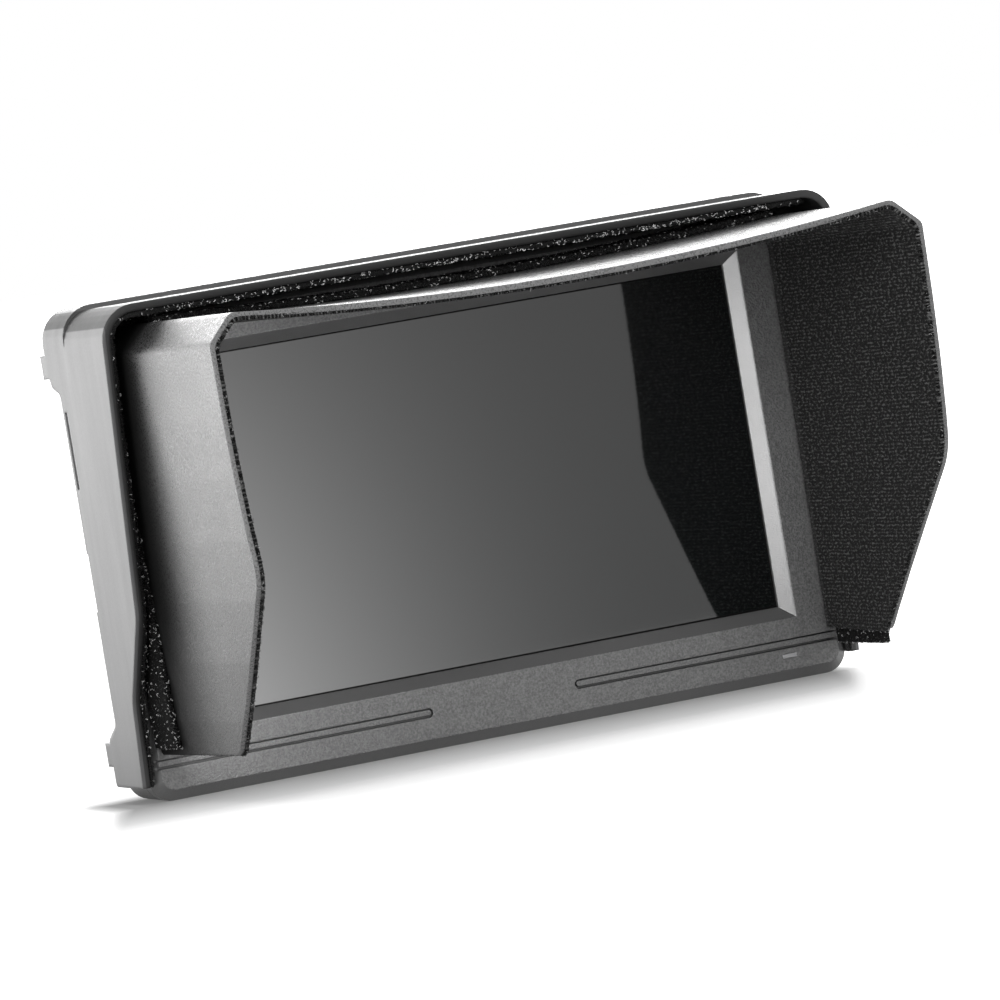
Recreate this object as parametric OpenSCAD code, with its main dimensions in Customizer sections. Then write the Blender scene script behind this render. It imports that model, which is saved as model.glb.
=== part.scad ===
// Camera field monitor with a slide-on carrier frame and a sun hood held in it by hook-and-loop strips.
// Millimetres. +X is the viewer's right, +Y goes into the monitor and +Z is up.
// The origin is the mouth of the tripod thread in the monitor's bottom face.

/* [Screen] */
// Width of the visible picture
screen_w = 121.8; // [114:0.1:128]
// Height of the visible picture
screen_h = 68.5; // [64:0.1:73]
// Depth of the glass behind the bezel's front face
screen_recess = 3.6; // [3.2:0.1:4.4]
// Width of the bevel round the window
window_bevel = 2.3; // [1.6:0.1:3]
// How far glass and panel run on behind the bezel on each side
glass_border = 3; // [2:0.1:3.4]
// Thickness of the cover glass
glass_t = 0.8; // [0.6:0.1:1]
// Thickness of the seal between bezel and glass
gasket_t = 0.3; // [0.2:0.05:0.4]
// Thickness of the display panel
panel_t = 1.4; // [1.2:0.1:1.6]
// Thickness of the backlight
backlight_t = 1.8; // [1.5:0.1:2]

/* [Monitor body] */
// Flat face beside the window, left and right
bezel_side = 10.05; // [9.6:0.05:13]
// Flat face above the window
bezel_top = 8.15; // [7.8:0.05:12]
// Flat face below the window
bezel_bottom = 12.3; // [11.8:0.1:16]
// Chamfer round the front face
edge_chamfer = 2.2; // [1.6:0.1:2.6]
// Chamfer round the rear face
rear_chamfer = 2; // [1.2:0.1:2.4]
// Corner radius of the body's outline
corner_r = 4.5; // [3.4:0.1:6]
// Depth of the body from face to rear
body_depth = 18; // [17.8:0.1:22]
// Depth of the seam between bezel and rear cover
seam_depth = 5; // [4.6:0.1:5.2]
// Side wall of the case
case_wall = 2; // [1.8:0.1:2.4]
// Rear wall of the case
rear_wall = 1.6; // [1.4:0.1:2]
// Length of the two grooves in the bottom of the face
groove_len = 56.1; // [40:0.1:60]
// Height of each groove
groove_h = 1.9; // [1.4:0.1:2.2]
// Depth of each groove
groove_depth = 0.9; // [0.4:0.1:1.2]
// Distance of the grooves below the picture
groove_drop = 7.2; // [6:0.1:8]

/* [Tripod thread] */
// Radius of the quarter inch thread
thread_r = 3.2; // [2.5:0.05:3.3]
// Depth of the thread
thread_len = 8; // [6:0.5:8.5]
// Distance of the thread behind the face
thread_depth = 10.6; // [10.4:0.1:11.5]
// Radius of the brass insert
insert_r = 4; // [3.8:0.1:4.2]

/* [Top buttons] */
// Length of each button cap
button_w = 10; // [8:0.1:11]
// Width of each button cap
button_d = 3.6; // [3:0.1:4]
// Distance between buttons
button_pitch = 13.5; // [12.6:0.1:14.5]
// Place of the middle of the row
button_mid_x = 23.1; // [10:0.1:24]
// How far the caps stand above the case
button_proud = 0.25; // [0:0.05:0.3]
// Travel of each button
button_travel = 0.5; // [0.3:0.05:0.6]

/* [Sockets] */
// Height of the full size video socket's opening
video_h = 14; // [12:0.1:15]
// Height of the small video socket's opening
mini_video_h = 10.4; // [9:0.1:11.5]
// Height of the full size socket's centre above the picture's centre
video_in_z = 20.15; // [18:0.05:21]
// Height of the small socket's centre above the picture's centre
video_out_z = -5.5; // [-8:0.1:-4]
// Height of the headphone socket above the picture's centre
headphone_z = 8; // [5:0.5:15]
// Height of the power socket above the picture's centre
power_z = -8; // [-15:0.5:-5]
// Radius of the headphone bore
headphone_r = 1.8; // [1.25:0.05:1.85]

/* [Battery plate] */
// Width between the battery plate's side lugs
battery_w = 38.6; // [36:0.1:40]
// Height of the battery plate
plate_h = 66; // [60:0.5:72]
// Thickness of the battery plate
plate_t = 4.5; // [4.2:0.1:6]
// Travel of the battery latch
latch_travel = 1.5; // [1:0.1:1.6]

/* [Hood frame] */
// Wall of the frame
frame_wall = 1.5; // [1.2:0.1:2]
// Gap between frame and body at the sides
frame_side_gap = 0.5; // [0.3:0.05:0.8]
// Gap between frame and body at the top
frame_top_gap = 0.4; // [0.3:0.05:0.8]
// Outer corner radius of the frame
frame_corner_r = 6.5; // [4:0.1:8]
// How far the rim stands before the face at the top
rim_top_reach = 23.6; // [22.5:0.1:30]
// How far the rim stands before the face at its upper knee
rim_knee_reach = 14; // [11:0.1:16]
// Height of the upper knee above the bottom
rim_knee_z = 36.3; // [34:0.1:44]
// How far the rim stands before the face at its lower knee
rim_low_reach = 2.5; // [1.6:0.1:4]
// How far the rim stands before the face at its foot
rim_foot_reach = 0.2; // [0:0.1:1]
// Height of the lower knee above the bottom
rim_low_z = 20; // [16:0.1:24]
// Height of the frame's foot above the bottom
frame_foot_z = 3.4; // [2:0.1:5]
// Depth of the rear lobes behind the face
lobe_depth = 17; // [16:0.1:17.6]
// Depth of the rear edge beside the sockets
waist_depth = 11; // [10.2:0.1:11.2]
// Height of the lower lobe's top above the bottom
lobe_low_z = 14; // [10:0.1:18]
// Height of the upper lobe's foot above the bottom
lobe_high_z = 80.6; // [76:0.1:84]
// Height of each hook tab
tab_h = 4.6; // [3:0.1:6]
// How far each hook tab wraps in behind the body
tab_wrap = 5; // [4:0.1:5.5]
// Thickness of the hook tabs
tab_t = 1.7; // [1.2:0.1:2.2]
// Gap between the hook tabs and the body's rear
tab_gap = 0.3; // [0.2:0.05:0.5]
// Rise of the frame's thicker rear part
rear_rise = 0.85; // [0.3:0.05:1.5]
// Depth behind the face at which the thicker part starts
rise_depth = 3; // [1:0.1:6]

/* [Sun hood] */
// How far the hood stands before the face
hood_reach = 73.5; // [60:0.1:90]
// How much further back the top edge lies
hood_top_setback = 1.1; // [0:0.1:3]
// How far the hood's bottom front corner stands before the face
hood_low_reach = 38; // [30:0.1:50]
// Height of the knee in the front edge, from the picture's centre
hood_knee_z = -6; // [-20:0.1:10]
// Drop of the hood's bottom edge below the picture's centre
hood_drop = 39.5; // [38:0.1:41]
// Wall of the hood
hood_wall = 1.1; // [1:0.1:1.5]
// Chamfer of the hood's top corners
hood_chamfer = 5; // [3.5:0.1:7]
// Radius of the hood's creases
hood_crease_r = 2; // [1:0.1:3]
// Sag of the hood's top at its base
hood_sag_base = 2; // [0:0.1:3]
// Sag of the hood's top at its front edge
hood_sag_front = 3.6; // [0:0.1:5]
// Inward lean of the bottom edge at the base
hood_lean_base = 0.5; // [0:0.1:2]
// Further inward lean of the bottom front corner
hood_lean_front = 3.5; // [0:0.1:5]
// Gap between the hood's base and the face
hood_base_gap = 0.6; // [0.4:0.1:1]
// Thickness of the velvet lining
lining_t = 0.7; // [0.5:0.1:1]

/* [Hook-and-loop strips] */
// Thickness of the strips in the frame
loop_t = 1.1; // [0.8:0.1:1.4]
// Thickness of the strips on the hood
hook_t = 1.2; // [0.8:0.1:1.4]
// Gap between the two strips
strip_gap = 0.3; // [0.2:0.05:0.4]
// Width of the strip on the hood's top
hook_w = 19; // [14:0.1:20]
// Width of the strip on the hood's left
hook_left_w = 10.6; // [8:0.1:14]
// Width of the strip on the hood's right, which hangs straight beside the leaning panel
hook_right_w = 24.1; // [18:0.1:26]
// Drop of the hood's left strip below the picture's centre
hook_left_drop = 38.1; // [36:0.1:39]
// Drop of the hood's right strip below the picture's centre
hook_right_drop = 42.9; // [42:0.1:44]

/* [Hidden] */
$fn = 48;
eps = 0.01;
arc_steps = 7;

// Outline of the body, and the planes of its layers from front to rear
face_w = screen_w + 2 * bezel_side;
face_h = screen_h + bezel_top + bezel_bottom;
body_w = face_w + 2 * edge_chamfer;
body_h = face_h + 2 * edge_chamfer;
screen_z = edge_chamfer + bezel_bottom + screen_h / 2;
face_y = -thread_depth;
seam_y = face_y + seam_depth;
rear_y = face_y + body_depth;
inner_rear_y = rear_y - rear_wall;
glass_y = face_y + screen_recess;
land_y = glass_y - gasket_t;
panel_y = glass_y + glass_t;
backlight_y = panel_y + panel_t;
bracket_y = backlight_y + backlight_t;
bracket_t = 0.8;
standoff_h = 1.2;
board_y = bracket_y + bracket_t + standoff_h;
board_t = 1.2;
socket_y = board_y + board_t;

// Seam between bezel and rear cover
tongue_t = 0.9;
tongue_h = 0.9;
tongue_gap = 0.1;
seam_gap = 0.25;
seam_inset = 0.3;

// Window
window_lip = 0.4;
island_gap = 0.45;
island_h = groove_h - 2 * island_gap;
island_rise = 0.1;
island_sink = 0.12;

// Indicator light
light_w = 3.1;
light_h = 0.8;
light_inset = 10.5;
light_rise = 2.7;
light_x = face_w / 2 - light_inset;
light_z = edge_chamfer + light_rise;
light_gap = 0.05;
light_flange = 0.8;
light_foot = 0.4;

// Screws
screw_r = 0.9;
pilot_r = 0.95;
clear_r = 1.1;
head_r = 1.8;
head_h = 1;
head_sink = 1.3;
head_pocket_r = 2.05;
cross_w = 0.4;
cross_len = 2;
cross_depth = 0.5;
boss_r = 2.2;
case_screw_x = screen_w / 2 + glass_border + boss_r + 0.9;
case_screw_low_z = edge_chamfer + 4;
case_screw_high_z = body_h - case_wall - boss_r - 2.1;
post_y = bracket_y + bracket_t;
case_screw_spots = [for (x = [-1, 1], z = [case_screw_low_z, case_screw_high_z]) [x * case_screw_x, z]];
bracket_spot_z = 20;
bracket_spots = [for (x = [-1, 1], z = [-1, 1]) [x * case_screw_x, screen_z + z * bracket_spot_z]];
ear_h = 8;

// Boards
board_half_w = body_w / 2 - case_wall - 2.1;
board_margin = 4.25;
board_half_h = screen_h / 2 - board_margin;
board_hole_x = 52;
board_hole_z = 24;
board_spots = [for (x = [-1, 1], z = [-1, 1]) [x * board_hole_x, screen_z + z * board_hole_z]];
standoff_r = 2.6;
// Parts on the board: place from its middle, size and height
chips = [[-22, -8, 16, 16, 1.4], [10, 4, 12, 12, 1.2], [30, -12, 9, 14, 1], [-6, 18, 14, 6, 1]];

// Panel ribbon
flex_t = 0.2;
flex_w = 42;
flex_drop = 1.4;
flex_rise = 8;

// Top buttons and their switches
button_count = 6;
button_gap = 0.2;
button_r = 1;
roof_z = body_h - case_wall;
button_inset = 2.8;
button_y = inner_rear_y - button_inset;
flange_h = 0.7;
flange_margin = 0.6;
flange_gap = 0.05;
nub_r = 1;
nub_h = 0.3;
press_gap = 0.05;
plunger_r = 0.9;
plunger_h = 0.4;
switch_w = 4.2;
switch_h = 1.15;
switch_top_z = roof_z - flange_gap - flange_h - nub_h - button_travel - press_gap - plunger_h;
button_board_t = 1.2;
button_board_z = switch_top_z - switch_h - button_board_t;
button_board_margin = 6;
button_board_d = 5.4;
shelf_h = 2;
shelf_w = 3;

// Sockets
socket_shell = 0.5;
socket_len = 12;
socket_play = 0.15;
socket_d = 4.5;
mini_socket_d = 3;
port_margin = 0.4;
round_socket_w = 6.5;
round_socket_d = 5.4;
power_r = 1.85;
power_pin_r = 0.6;
socket_bore_len = 10;
tongue_d = 0.9;

// Battery plate
plate_lug_t = 1.6;
plate_w = battery_w + 2 * plate_lug_t;
plate_z = body_h / 2;
plate_r = 3;
lug_rise = 2.2;
lug_cap_t = 1.2;
lug_cap_in = 1.3;
lug_len = 6;
lug_pitch = 21;
plate_spots = [for (x = [-1, 1], z = [-1, 1]) [x * (plate_w / 2 - 6), plate_z + z * (plate_h / 2 - 5)]];
plate_boss_len = 2.6;
contact_count = 3;
contact_pitch = 6;
contact_t = 0.8;
contact_slot_gap = 0.05;
contact_block = [22, 3.4, 7];
contact_z = plate_z - plate_h / 2 + 8.5;
contact_sink = 0.4;
latch_w = 12;
latch_h = 7;
latch_z = plate_z + plate_h / 2 - 10;
latch_flange = 1;
latch_flange_t = 0.85;
latch_gap = 0.2;
latch_lip = 1;
latch_left = 0.7;
latch_rise = latch_travel + latch_left;
spring_r = 1.8;
spring_wire_r = 0.15;
spring_turns = 4;

// Hood frame
frame_in_x = body_w / 2 + frame_side_gap;
frame_in_z = body_h + frame_top_gap;
frame_out_x = frame_in_x + frame_wall;
frame_out_z = frame_in_z + frame_wall;
frame_in_r = frame_corner_r - frame_wall;
lobe_slope = 1.5;
notch_x = button_count * button_pitch / 2 + 4.4;
notch_depth = 10.4;
notch_r = 1.5;
tab_low_z = lobe_low_z - 4.4;
tab_high_z = lobe_high_z + 4.7;
slit_w = 1.2;
slit_depth = 8.4;
slit_margin = 0.45;
small_slit_w = 0.7;
rib_gap = 0.3;
rib_front = 0.3;
rib_foot_z = rim_low_z + 4;
rib_top_z = frame_in_z - frame_corner_r;

// Strips
strip_setback = 1.2;
strip_low_setback = 0.3;
strip_start = 0.9;
strip_tuck = 1;
glue = 0.05;
right_bare_x = 69.5;
right_bare_z = 9;
hook_top_half = 64;
hook_side_top = 36;

// Sun hood
hood_half_w = frame_in_x - loop_t - strip_gap - hook_t;
hood_top_z = frame_in_z - loop_t - strip_gap - hook_t;
hood_base_y = face_y - hood_base_gap;
hood_crease_z = hood_top_z - hood_chamfer;
hood_bottom_z = screen_z - hood_drop;
hood_lean_power = 2.6;
hood_knee_r = 9;
hood_corner_r = 4.5;
hood_stations = 9;
side_steps = 8;
top_steps = 12;
crease_steps = 3;
octagon_share = tan(22.5);
lining_inset = 0.5;

// ---------- shared geometry ----------

function unit(v) = v / norm(v);

// Points of the round that replaces corner b, which lies between a and c
function corner_arc(a, b, c, r, steps) =
    let (u = unit(a - b), v = unit(c - b), half = acos(u * v) / 2,
         mid = b + unit(u + v) * (r / sin(half)),
         p = b + u * (r / tan(half)) - mid,
         q = b + v * (r / tan(half)) - mid,
         from = atan2(p.y, p.x),
         turn = (atan2(q.y, q.x) - from + 540) % 360 - 180)
    [for (i = [0 : steps]) mid + r * [cos(from + turn * i / steps), sin(from + turn * i / steps)]];

function flat(p) = [p.x, p.y];

// Closed path of [x, y, corner radius] with each corner rounded
function rounded(path, steps = arc_steps) =
    let (n = len(path))
    [for (i = [0 : n - 1]) each path[i].z <= 0
        ? [flat(path[i])]
        : corner_arc(flat(path[(i + n - 1) % n]), flat(path[i]), flat(path[(i + 1) % n]), path[i].z, steps)];

module rounded_rect(w, h, r) {
    polygon(rounded([[-w / 2, -h / 2, r], [w / 2, -h / 2, r], [w / 2, h / 2, r], [-w / 2, h / 2, r]]));
}

// Extrudes an outline drawn in X and Z from y0 to y1
module along_y(y0, y1) {
    translate([0, y1, 0]) rotate([90, 0, 0]) linear_extrude(y1 - y0) children();
}

// Extrudes an outline drawn in Y and Z from x0 to x1
module along_x(x0, x1) {
    translate([x0, 0, 0]) rotate([90, 0, 90]) linear_extrude(x1 - x0) children();
}

// Round bar along Y at a spot [x, z]
module bar(spot, r, y0, y1) {
    translate([spot.x, y1, spot.y]) rotate([90, 0, 0]) cylinder(r = r, h = y1 - y0);
}

module block(x0, x1, y0, y1, z0, z1) {
    translate([x0, y0, z0]) cube([x1 - x0, y1 - y0, z1 - z0]);
}

module body_outline(inset) {
    translate([0, body_h / 2])
        rounded_rect(body_w - 2 * inset, body_h - 2 * inset, max(corner_r - inset, 0.6));
}

module screen_outline(grow) {
    translate([0, screen_z]) square([screen_w + 2 * grow, screen_h + 2 * grow], center = true);
}

// Screw along Y, its head's top at head_y and its tip towards -Y
module screw(spot, head_y, len) {
    difference() {
        union() {
            bar(spot, head_r, head_y - head_h, head_y);
            bar(spot, screw_r, head_y - head_h - len, head_y - head_h + eps);
        }
        for (turn = [0, 90])
            translate([spot.x, head_y, spot.y]) rotate([0, turn, 0])
                cube([cross_w, 2 * cross_depth, cross_len], center = true);
    }
}

// ---------- monitor: case ----------

// Slot of a height h in the face, from its round inner end out through the chamfer
module groove_slot(side, z, h, y0, y1) {
    middle = side * (face_w / 2 - groove_len + groove_h / 2);
    outer = side * (body_w / 2 + 1);
    bar([middle, z], h / 2, y0, y1);
    block(min(middle, outer), max(middle, outer), y0, y1, z - h / 2, z + h / 2);
}

module groove(side) {
    z = screen_z - screen_h / 2 - groove_drop;
    difference() {
        groove_slot(side, z, groove_h, face_y - 1, face_y + groove_depth);
        groove_slot(side, z + island_rise, island_h, face_y + island_sink, face_y + groove_depth + 1);
    }
}

module light_pipe(grow, y0, y1) {
    along_y(y0, y1) translate([light_x, light_z])
        square([light_w + 2 * grow, light_h + 2 * grow], center = true);
}

module front_bezel() {
    bevel_depth = screen_recess - gasket_t - window_lip;
    overshoot = 0.5;
    color("#3d3e40") {
        difference() {
            hull() {
                along_y(face_y, face_y + eps) body_outline(edge_chamfer);
                along_y(face_y + edge_chamfer, seam_y) body_outline(0);
            }
            hull() {
                along_y(face_y - overshoot, face_y - overshoot + eps)
                    screen_outline(window_bevel * (1 + overshoot / bevel_depth));
                along_y(face_y + bevel_depth - eps, face_y + bevel_depth) screen_outline(0);
            }
            along_y(face_y + bevel_depth - 0.2, land_y + 1) screen_outline(0);
            along_y(land_y, seam_y + 1) body_outline(case_wall);
            along_y(seam_y - tongue_h - tongue_gap, seam_y + 1)
                body_outline(case_wall - tongue_t - tongue_gap);
            for (side = [-1, 1]) groove(side);
            light_pipe(light_gap, face_y - 1, land_y + 1);
        }
        for (spot = case_screw_spots)
            difference() {
                bar(spot, boss_r, land_y - 0.5, post_y);
                bar(spot, pilot_r, land_y + 0.4, post_y + 1);
            }
        for (spot = bracket_spots)
            difference() {
                bar(spot, boss_r, land_y - 0.5, bracket_y);
                bar(spot, pilot_r, land_y + 0.2, bracket_y + 1);
            }
    }
}

// Openings in the side walls before the sockets
module port_cuts() {
    x0 = body_w / 2 - case_wall - 1;
    x1 = body_w / 2 + 1;
    y = socket_y + socket_d / 2 + socket_shell;
    mini_y = socket_y + mini_socket_d / 2 + socket_shell;
    block(-x1, -x0, y - socket_d / 2 - port_margin / 2, y + socket_d / 2 + port_margin / 2,
        screen_z + video_in_z - video_h / 2 - port_margin, screen_z + video_in_z + video_h / 2 + port_margin);
    block(-x1, -x0, mini_y - mini_socket_d / 2 - port_margin, mini_y + mini_socket_d / 2 + port_margin,
        screen_z + video_out_z - mini_video_h / 2 - port_margin,
        screen_z + video_out_z + mini_video_h / 2 + port_margin);
    for (z = [headphone_z, power_z])
        translate([x0, socket_y + round_socket_d / 2, screen_z + z]) rotate([0, 90, 0])
            cylinder(r = power_r + port_margin, h = x1 - x0);
}

module rear_cover() {
    color("#35363a") difference() {
        union() {
            difference() {
                union() {
                    hull() {
                        along_y(seam_y, rear_y - rear_chamfer) body_outline(0);
                        along_y(rear_y - eps, rear_y) body_outline(rear_chamfer);
                    }
                    along_y(seam_y - tongue_h, seam_y + eps) body_outline(case_wall - tongue_t);
                }
                along_y(seam_y - tongue_h - 1, inner_rear_y) body_outline(case_wall);
                along_y(seam_y - tongue_h / 2, seam_y + seam_gap) difference() {
                    body_outline(-1);
                    body_outline(seam_inset);
                }
            }
            for (spot = case_screw_spots) bar(spot, boss_r, post_y, inner_rear_y + eps);
            for (spot = plate_spots) bar(spot, boss_r, inner_rear_y - plate_boss_len, inner_rear_y + eps);
            translate([0, 0, case_wall - eps]) cylinder(r = insert_r + 1.2, h = thread_len + 2.4 - case_wall);
            for (x = [-1, 0, 1]) {
                mid = button_mid_x + x * (button_count - 1) * button_pitch / 2;
                block(mid - shelf_w / 2, mid + shelf_w / 2, inner_rear_y - button_board_d,
                    inner_rear_y + eps, button_board_z - shelf_h, button_board_z);
            }
        }
        translate([0, 0, -1]) cylinder(r = insert_r, h = thread_len + 2);
        for (spot = case_screw_spots) {
            bar(spot, clear_r, post_y - 1, rear_y + 1);
            bar(spot, head_pocket_r, rear_y - head_sink, rear_y + 1);
        }
        for (spot = plate_spots) bar(spot, pilot_r, inner_rear_y - plate_boss_len - 1, rear_y + 1);
        for (i = [0 : button_count - 1])
            translate([button_x(i), button_y, roof_z - 1]) linear_extrude(case_wall + 2)
                rounded_rect(button_w + 2 * button_gap, button_d + 2 * button_gap, button_r + button_gap);
        port_cuts();
    }
}

module case_screws() {
    color("#8d8f92") for (spot = case_screw_spots)
        screw(spot, rear_y - head_sink + head_h, body_depth - screen_recess - head_sink - 1);
}

module tripod_insert() {
    color("#b9974e") difference() {
        cylinder(r = insert_r, h = thread_len + 1);
        translate([0, 0, -eps]) cylinder(r = thread_r, h = thread_len + eps);
    }
}

module indicator_light() {
    color("#b8babc") {
        light_pipe(0, face_y, land_y + eps);
        block(light_x - light_w / 2 - light_flange, light_x + light_w / 2 + light_flange,
            land_y, land_y + light_flange,
            light_z - light_h / 2 - light_foot, light_z + light_h / 2 + light_flange);
    }
}

// ---------- monitor: display stack ----------

module glass_gasket() {
    color("#0c0c0d") along_y(land_y, glass_y) difference() {
        screen_outline(glass_border);
        screen_outline(-0.05);
    }
}

module cover_glass() {
    color([0.2, 0.21, 0.21]) along_y(glass_y, panel_y) translate([0, screen_z])
        rounded_rect(screen_w + 2 * glass_border, screen_h + 2 * glass_border, 1);
}

module lcd_panel() {
    color("#17181a") along_y(panel_y, backlight_y) screen_outline(glass_border - 0.5);
}

module backlight_unit() {
    color("#d9dadb") along_y(backlight_y, bracket_y) screen_outline(glass_border - 0.3);
}

module panel_bracket() {
    ear_x = case_screw_x + boss_r;
    color("#a7a9ac") along_y(bracket_y, bracket_y + bracket_t) difference() {
        union() {
            screen_outline(glass_border - 0.3);
            for (z = [-1, 1]) translate([0, screen_z + z * bracket_spot_z])
                square([2 * ear_x, ear_h], center = true);
        }
        for (x = [-1, 0, 1]) translate([x * screen_w / 3.4, screen_z - 4])
            rounded_rect(screen_w / 4.6, screen_h / 3, 3);
        for (spot = bracket_spots) translate([spot.x, spot.y]) circle(clear_r);
    }
}

module bracket_screws() {
    color("#8d8f92") for (spot = bracket_spots)
        screw(spot, bracket_y + bracket_t + head_h, bracket_y - land_y - 0.2);
}

// Ribbon from the panel's lower edge, back under the bracket and up to the board
module panel_flex() {
    low = screen_z - screen_h / 2 - glass_border + 0.3 - flex_drop;
    top_front = screen_z - screen_h / 2 - glass_border + 0.5;
    top_rear = screen_z - board_half_h + flex_rise;
    front = panel_y + 0.4;
    rear = board_y - flex_t;
    color("#b0703a") along_x(-flex_w / 2, flex_w / 2) polygon([[front, top_front], [front, low],
        [rear + flex_t, low], [rear + flex_t, top_rear], [rear, top_rear], [rear, low + flex_t],
        [front + flex_t, low + flex_t], [front + flex_t, top_front]]);
}

// ---------- monitor: electronics ----------

module board_standoffs() {
    color("#b9974e") for (spot = board_spots) difference() {
        translate([spot.x, board_y, spot.y]) rotate([90, 0, 0])
            cylinder(r = standoff_r, h = standoff_h, $fn = 6);
        bar(spot, clear_r, bracket_y, board_y + 1);
    }
}

module main_board() {
    color("#1f4d34") {
        along_y(board_y, socket_y) difference() {
            translate([0, screen_z]) rounded_rect(2 * board_half_w, 2 * board_half_h, 1.5);
            for (spot = board_spots) translate([spot.x, spot.y]) circle(clear_r);
        }
        for (chip = chips)
            block(chip[0] - chip[2] / 2, chip[0] + chip[2] / 2, socket_y - eps, socket_y + chip[4],
                screen_z + chip[1] - chip[3] / 2, screen_z + chip[1] + chip[3] / 2);
    }
}

module board_screws() {
    color("#8d8f92") for (spot = board_spots)
        screw(spot, socket_y + head_h, board_t + standoff_h - 0.1);
}

// Rectangular socket with its mouth at the left wall's inner face
module video_socket(z, h, d) {
    x0 = -body_w / 2 + case_wall + socket_play;
    y0 = socket_y;
    y1 = socket_y + d + 2 * socket_shell;
    color("#9c9ea1") difference() {
        block(x0, x0 + socket_len, y0, y1, z - h / 2 - socket_shell, z + h / 2 + socket_shell);
        difference() {
            block(x0 - 1, x0 + socket_bore_len, y0 + socket_shell, y1 - socket_shell, z - h / 2, z + h / 2);
            block(x0 + 1, x0 + socket_len, (y0 + y1 - tongue_d) / 2, (y0 + y1 + tongue_d) / 2,
                z - h / 2 + 1.2, z + h / 2 - 1.2);
        }
    }
}

module video_in_socket() {
    video_socket(screen_z + video_in_z, video_h, socket_d);
}

module video_out_socket() {
    video_socket(screen_z + video_out_z, mini_video_h, mini_socket_d);
}

// Round socket with its mouth at the right wall's inner face
module round_socket(z, r) {
    x1 = body_w / 2 - case_wall - socket_play;
    y = socket_y + round_socket_d / 2;
    difference() {
        block(x1 - socket_len, x1, socket_y, socket_y + round_socket_d,
            z - round_socket_w / 2, z + round_socket_w / 2);
        translate([x1 - socket_bore_len, y, z]) rotate([0, 90, 0]) cylinder(r = r, h = socket_bore_len + 1);
    }
}

module headphone_socket() {
    color("#26272a") round_socket(screen_z + headphone_z, headphone_r);
}

module power_socket() {
    x1 = body_w / 2 - case_wall - socket_play;
    color("#26272a") {
        round_socket(screen_z + power_z, power_r);
        translate([x1 - socket_bore_len - 1, socket_y + round_socket_d / 2, screen_z + power_z])
            rotate([0, 90, 0]) cylinder(r = power_pin_r, h = socket_bore_len);
    }
}

// ---------- monitor: top buttons ----------

function button_x(i) = button_mid_x + (i - (button_count - 1) / 2) * button_pitch;

module button(i) {
    color("#2c2d30") translate([button_x(i), button_y, 0]) {
        flange_z = roof_z - flange_gap - flange_h;
        translate([0, 0, flange_z + flange_h - eps])
            linear_extrude(flange_gap + case_wall + button_proud + eps)
                rounded_rect(button_w, button_d, button_r);
        translate([0, 0, flange_z]) linear_extrude(flange_h)
            rounded_rect(button_w + 2 * flange_margin, button_d + 2 * flange_margin, button_r);
        translate([0, 0, flange_z - nub_h]) cylinder(r = nub_r, h = nub_h + eps);
    }
}

module tact_switches() {
    color("#77797c") for (i = [0 : button_count - 1]) translate([button_x(i), button_y, 0]) {
        block(-switch_w / 2, switch_w / 2, -switch_w / 2, switch_w / 2,
            button_board_z + button_board_t, switch_top_z);
        translate([0, 0, switch_top_z - eps]) cylinder(r = plunger_r, h = plunger_h + eps);
    }
}

module button_board() {
    half = (button_count - 1) * button_pitch / 2 + button_board_margin;
    color("#1f4d34") block(button_mid_x - half, button_mid_x + half, inner_rear_y - button_board_d,
        inner_rear_y - 0.1, button_board_z, button_board_z + button_board_t);
}

// ---------- monitor: battery plate ----------

module battery_plate() {
    plate_top = rear_y + plate_t;
    color("#2a2b2e") {
        difference() {
            union() {
                along_y(rear_y, plate_top) translate([0, plate_z]) rounded_rect(plate_w, plate_h, plate_r);
                block(-contact_block.x / 2, contact_block.x / 2,
                    plate_top - eps, plate_top + contact_block.y,
                    contact_z - contact_block.z / 2, contact_z + contact_block.z / 2);
            }
            for (spot = plate_spots) {
                bar(spot, clear_r, rear_y - 1, plate_top + 1);
                bar(spot, head_pocket_r, plate_top - head_sink, plate_top + 1);
            }
            for (i = [0 : contact_count - 1]) contact_slot(i);
            latch_hole(latch_flange + latch_gap, rear_y - 1, plate_top - latch_lip);
            latch_hole(latch_gap, rear_y - 1, plate_top + 1);
        }
        for (side = [-1, 1], i = [-1, 0, 1]) {
            z = plate_z - 2 + i * lug_pitch;
            edge = side * plate_w / 2;
            stem = side * battery_w / 2;
            cap = side * (battery_w / 2 - lug_cap_in);
            block(min(edge, stem), max(edge, stem), plate_top - eps, plate_top + lug_rise + lug_cap_t,
                z - lug_len / 2, z + lug_len / 2);
            block(min(edge, cap), max(edge, cap), plate_top + lug_rise, plate_top + lug_rise + lug_cap_t,
                z - lug_len / 2, z + lug_len / 2);
        }
    }
}

function contact_x(i) = (i - (contact_count - 1) / 2) * contact_pitch;

module contact_slot(i) {
    half = contact_t / 2 + contact_slot_gap;
    block(contact_x(i) - half, contact_x(i) + half, rear_y - 1, rear_y + plate_t + contact_block.y + 1,
        contact_z - contact_block.z / 2 + 1, contact_z + contact_block.z / 2 + 1);
}

module battery_contacts() {
    color("#c9a24a") for (i = [0 : contact_count - 1])
        block(contact_x(i) - contact_t / 2, contact_x(i) + contact_t / 2, rear_y,
            rear_y + plate_t + contact_block.y - contact_sink,
            contact_z - contact_block.z / 2 + 1 + contact_slot_gap,
            contact_z + contact_block.z / 2 - contact_sink);
}

module latch_hole(grow, y0, y1) {
    along_y(y0, y1) translate([0, latch_z]) rounded_rect(latch_w + 2 * grow, latch_h + 2 * grow, 1);
}

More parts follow.
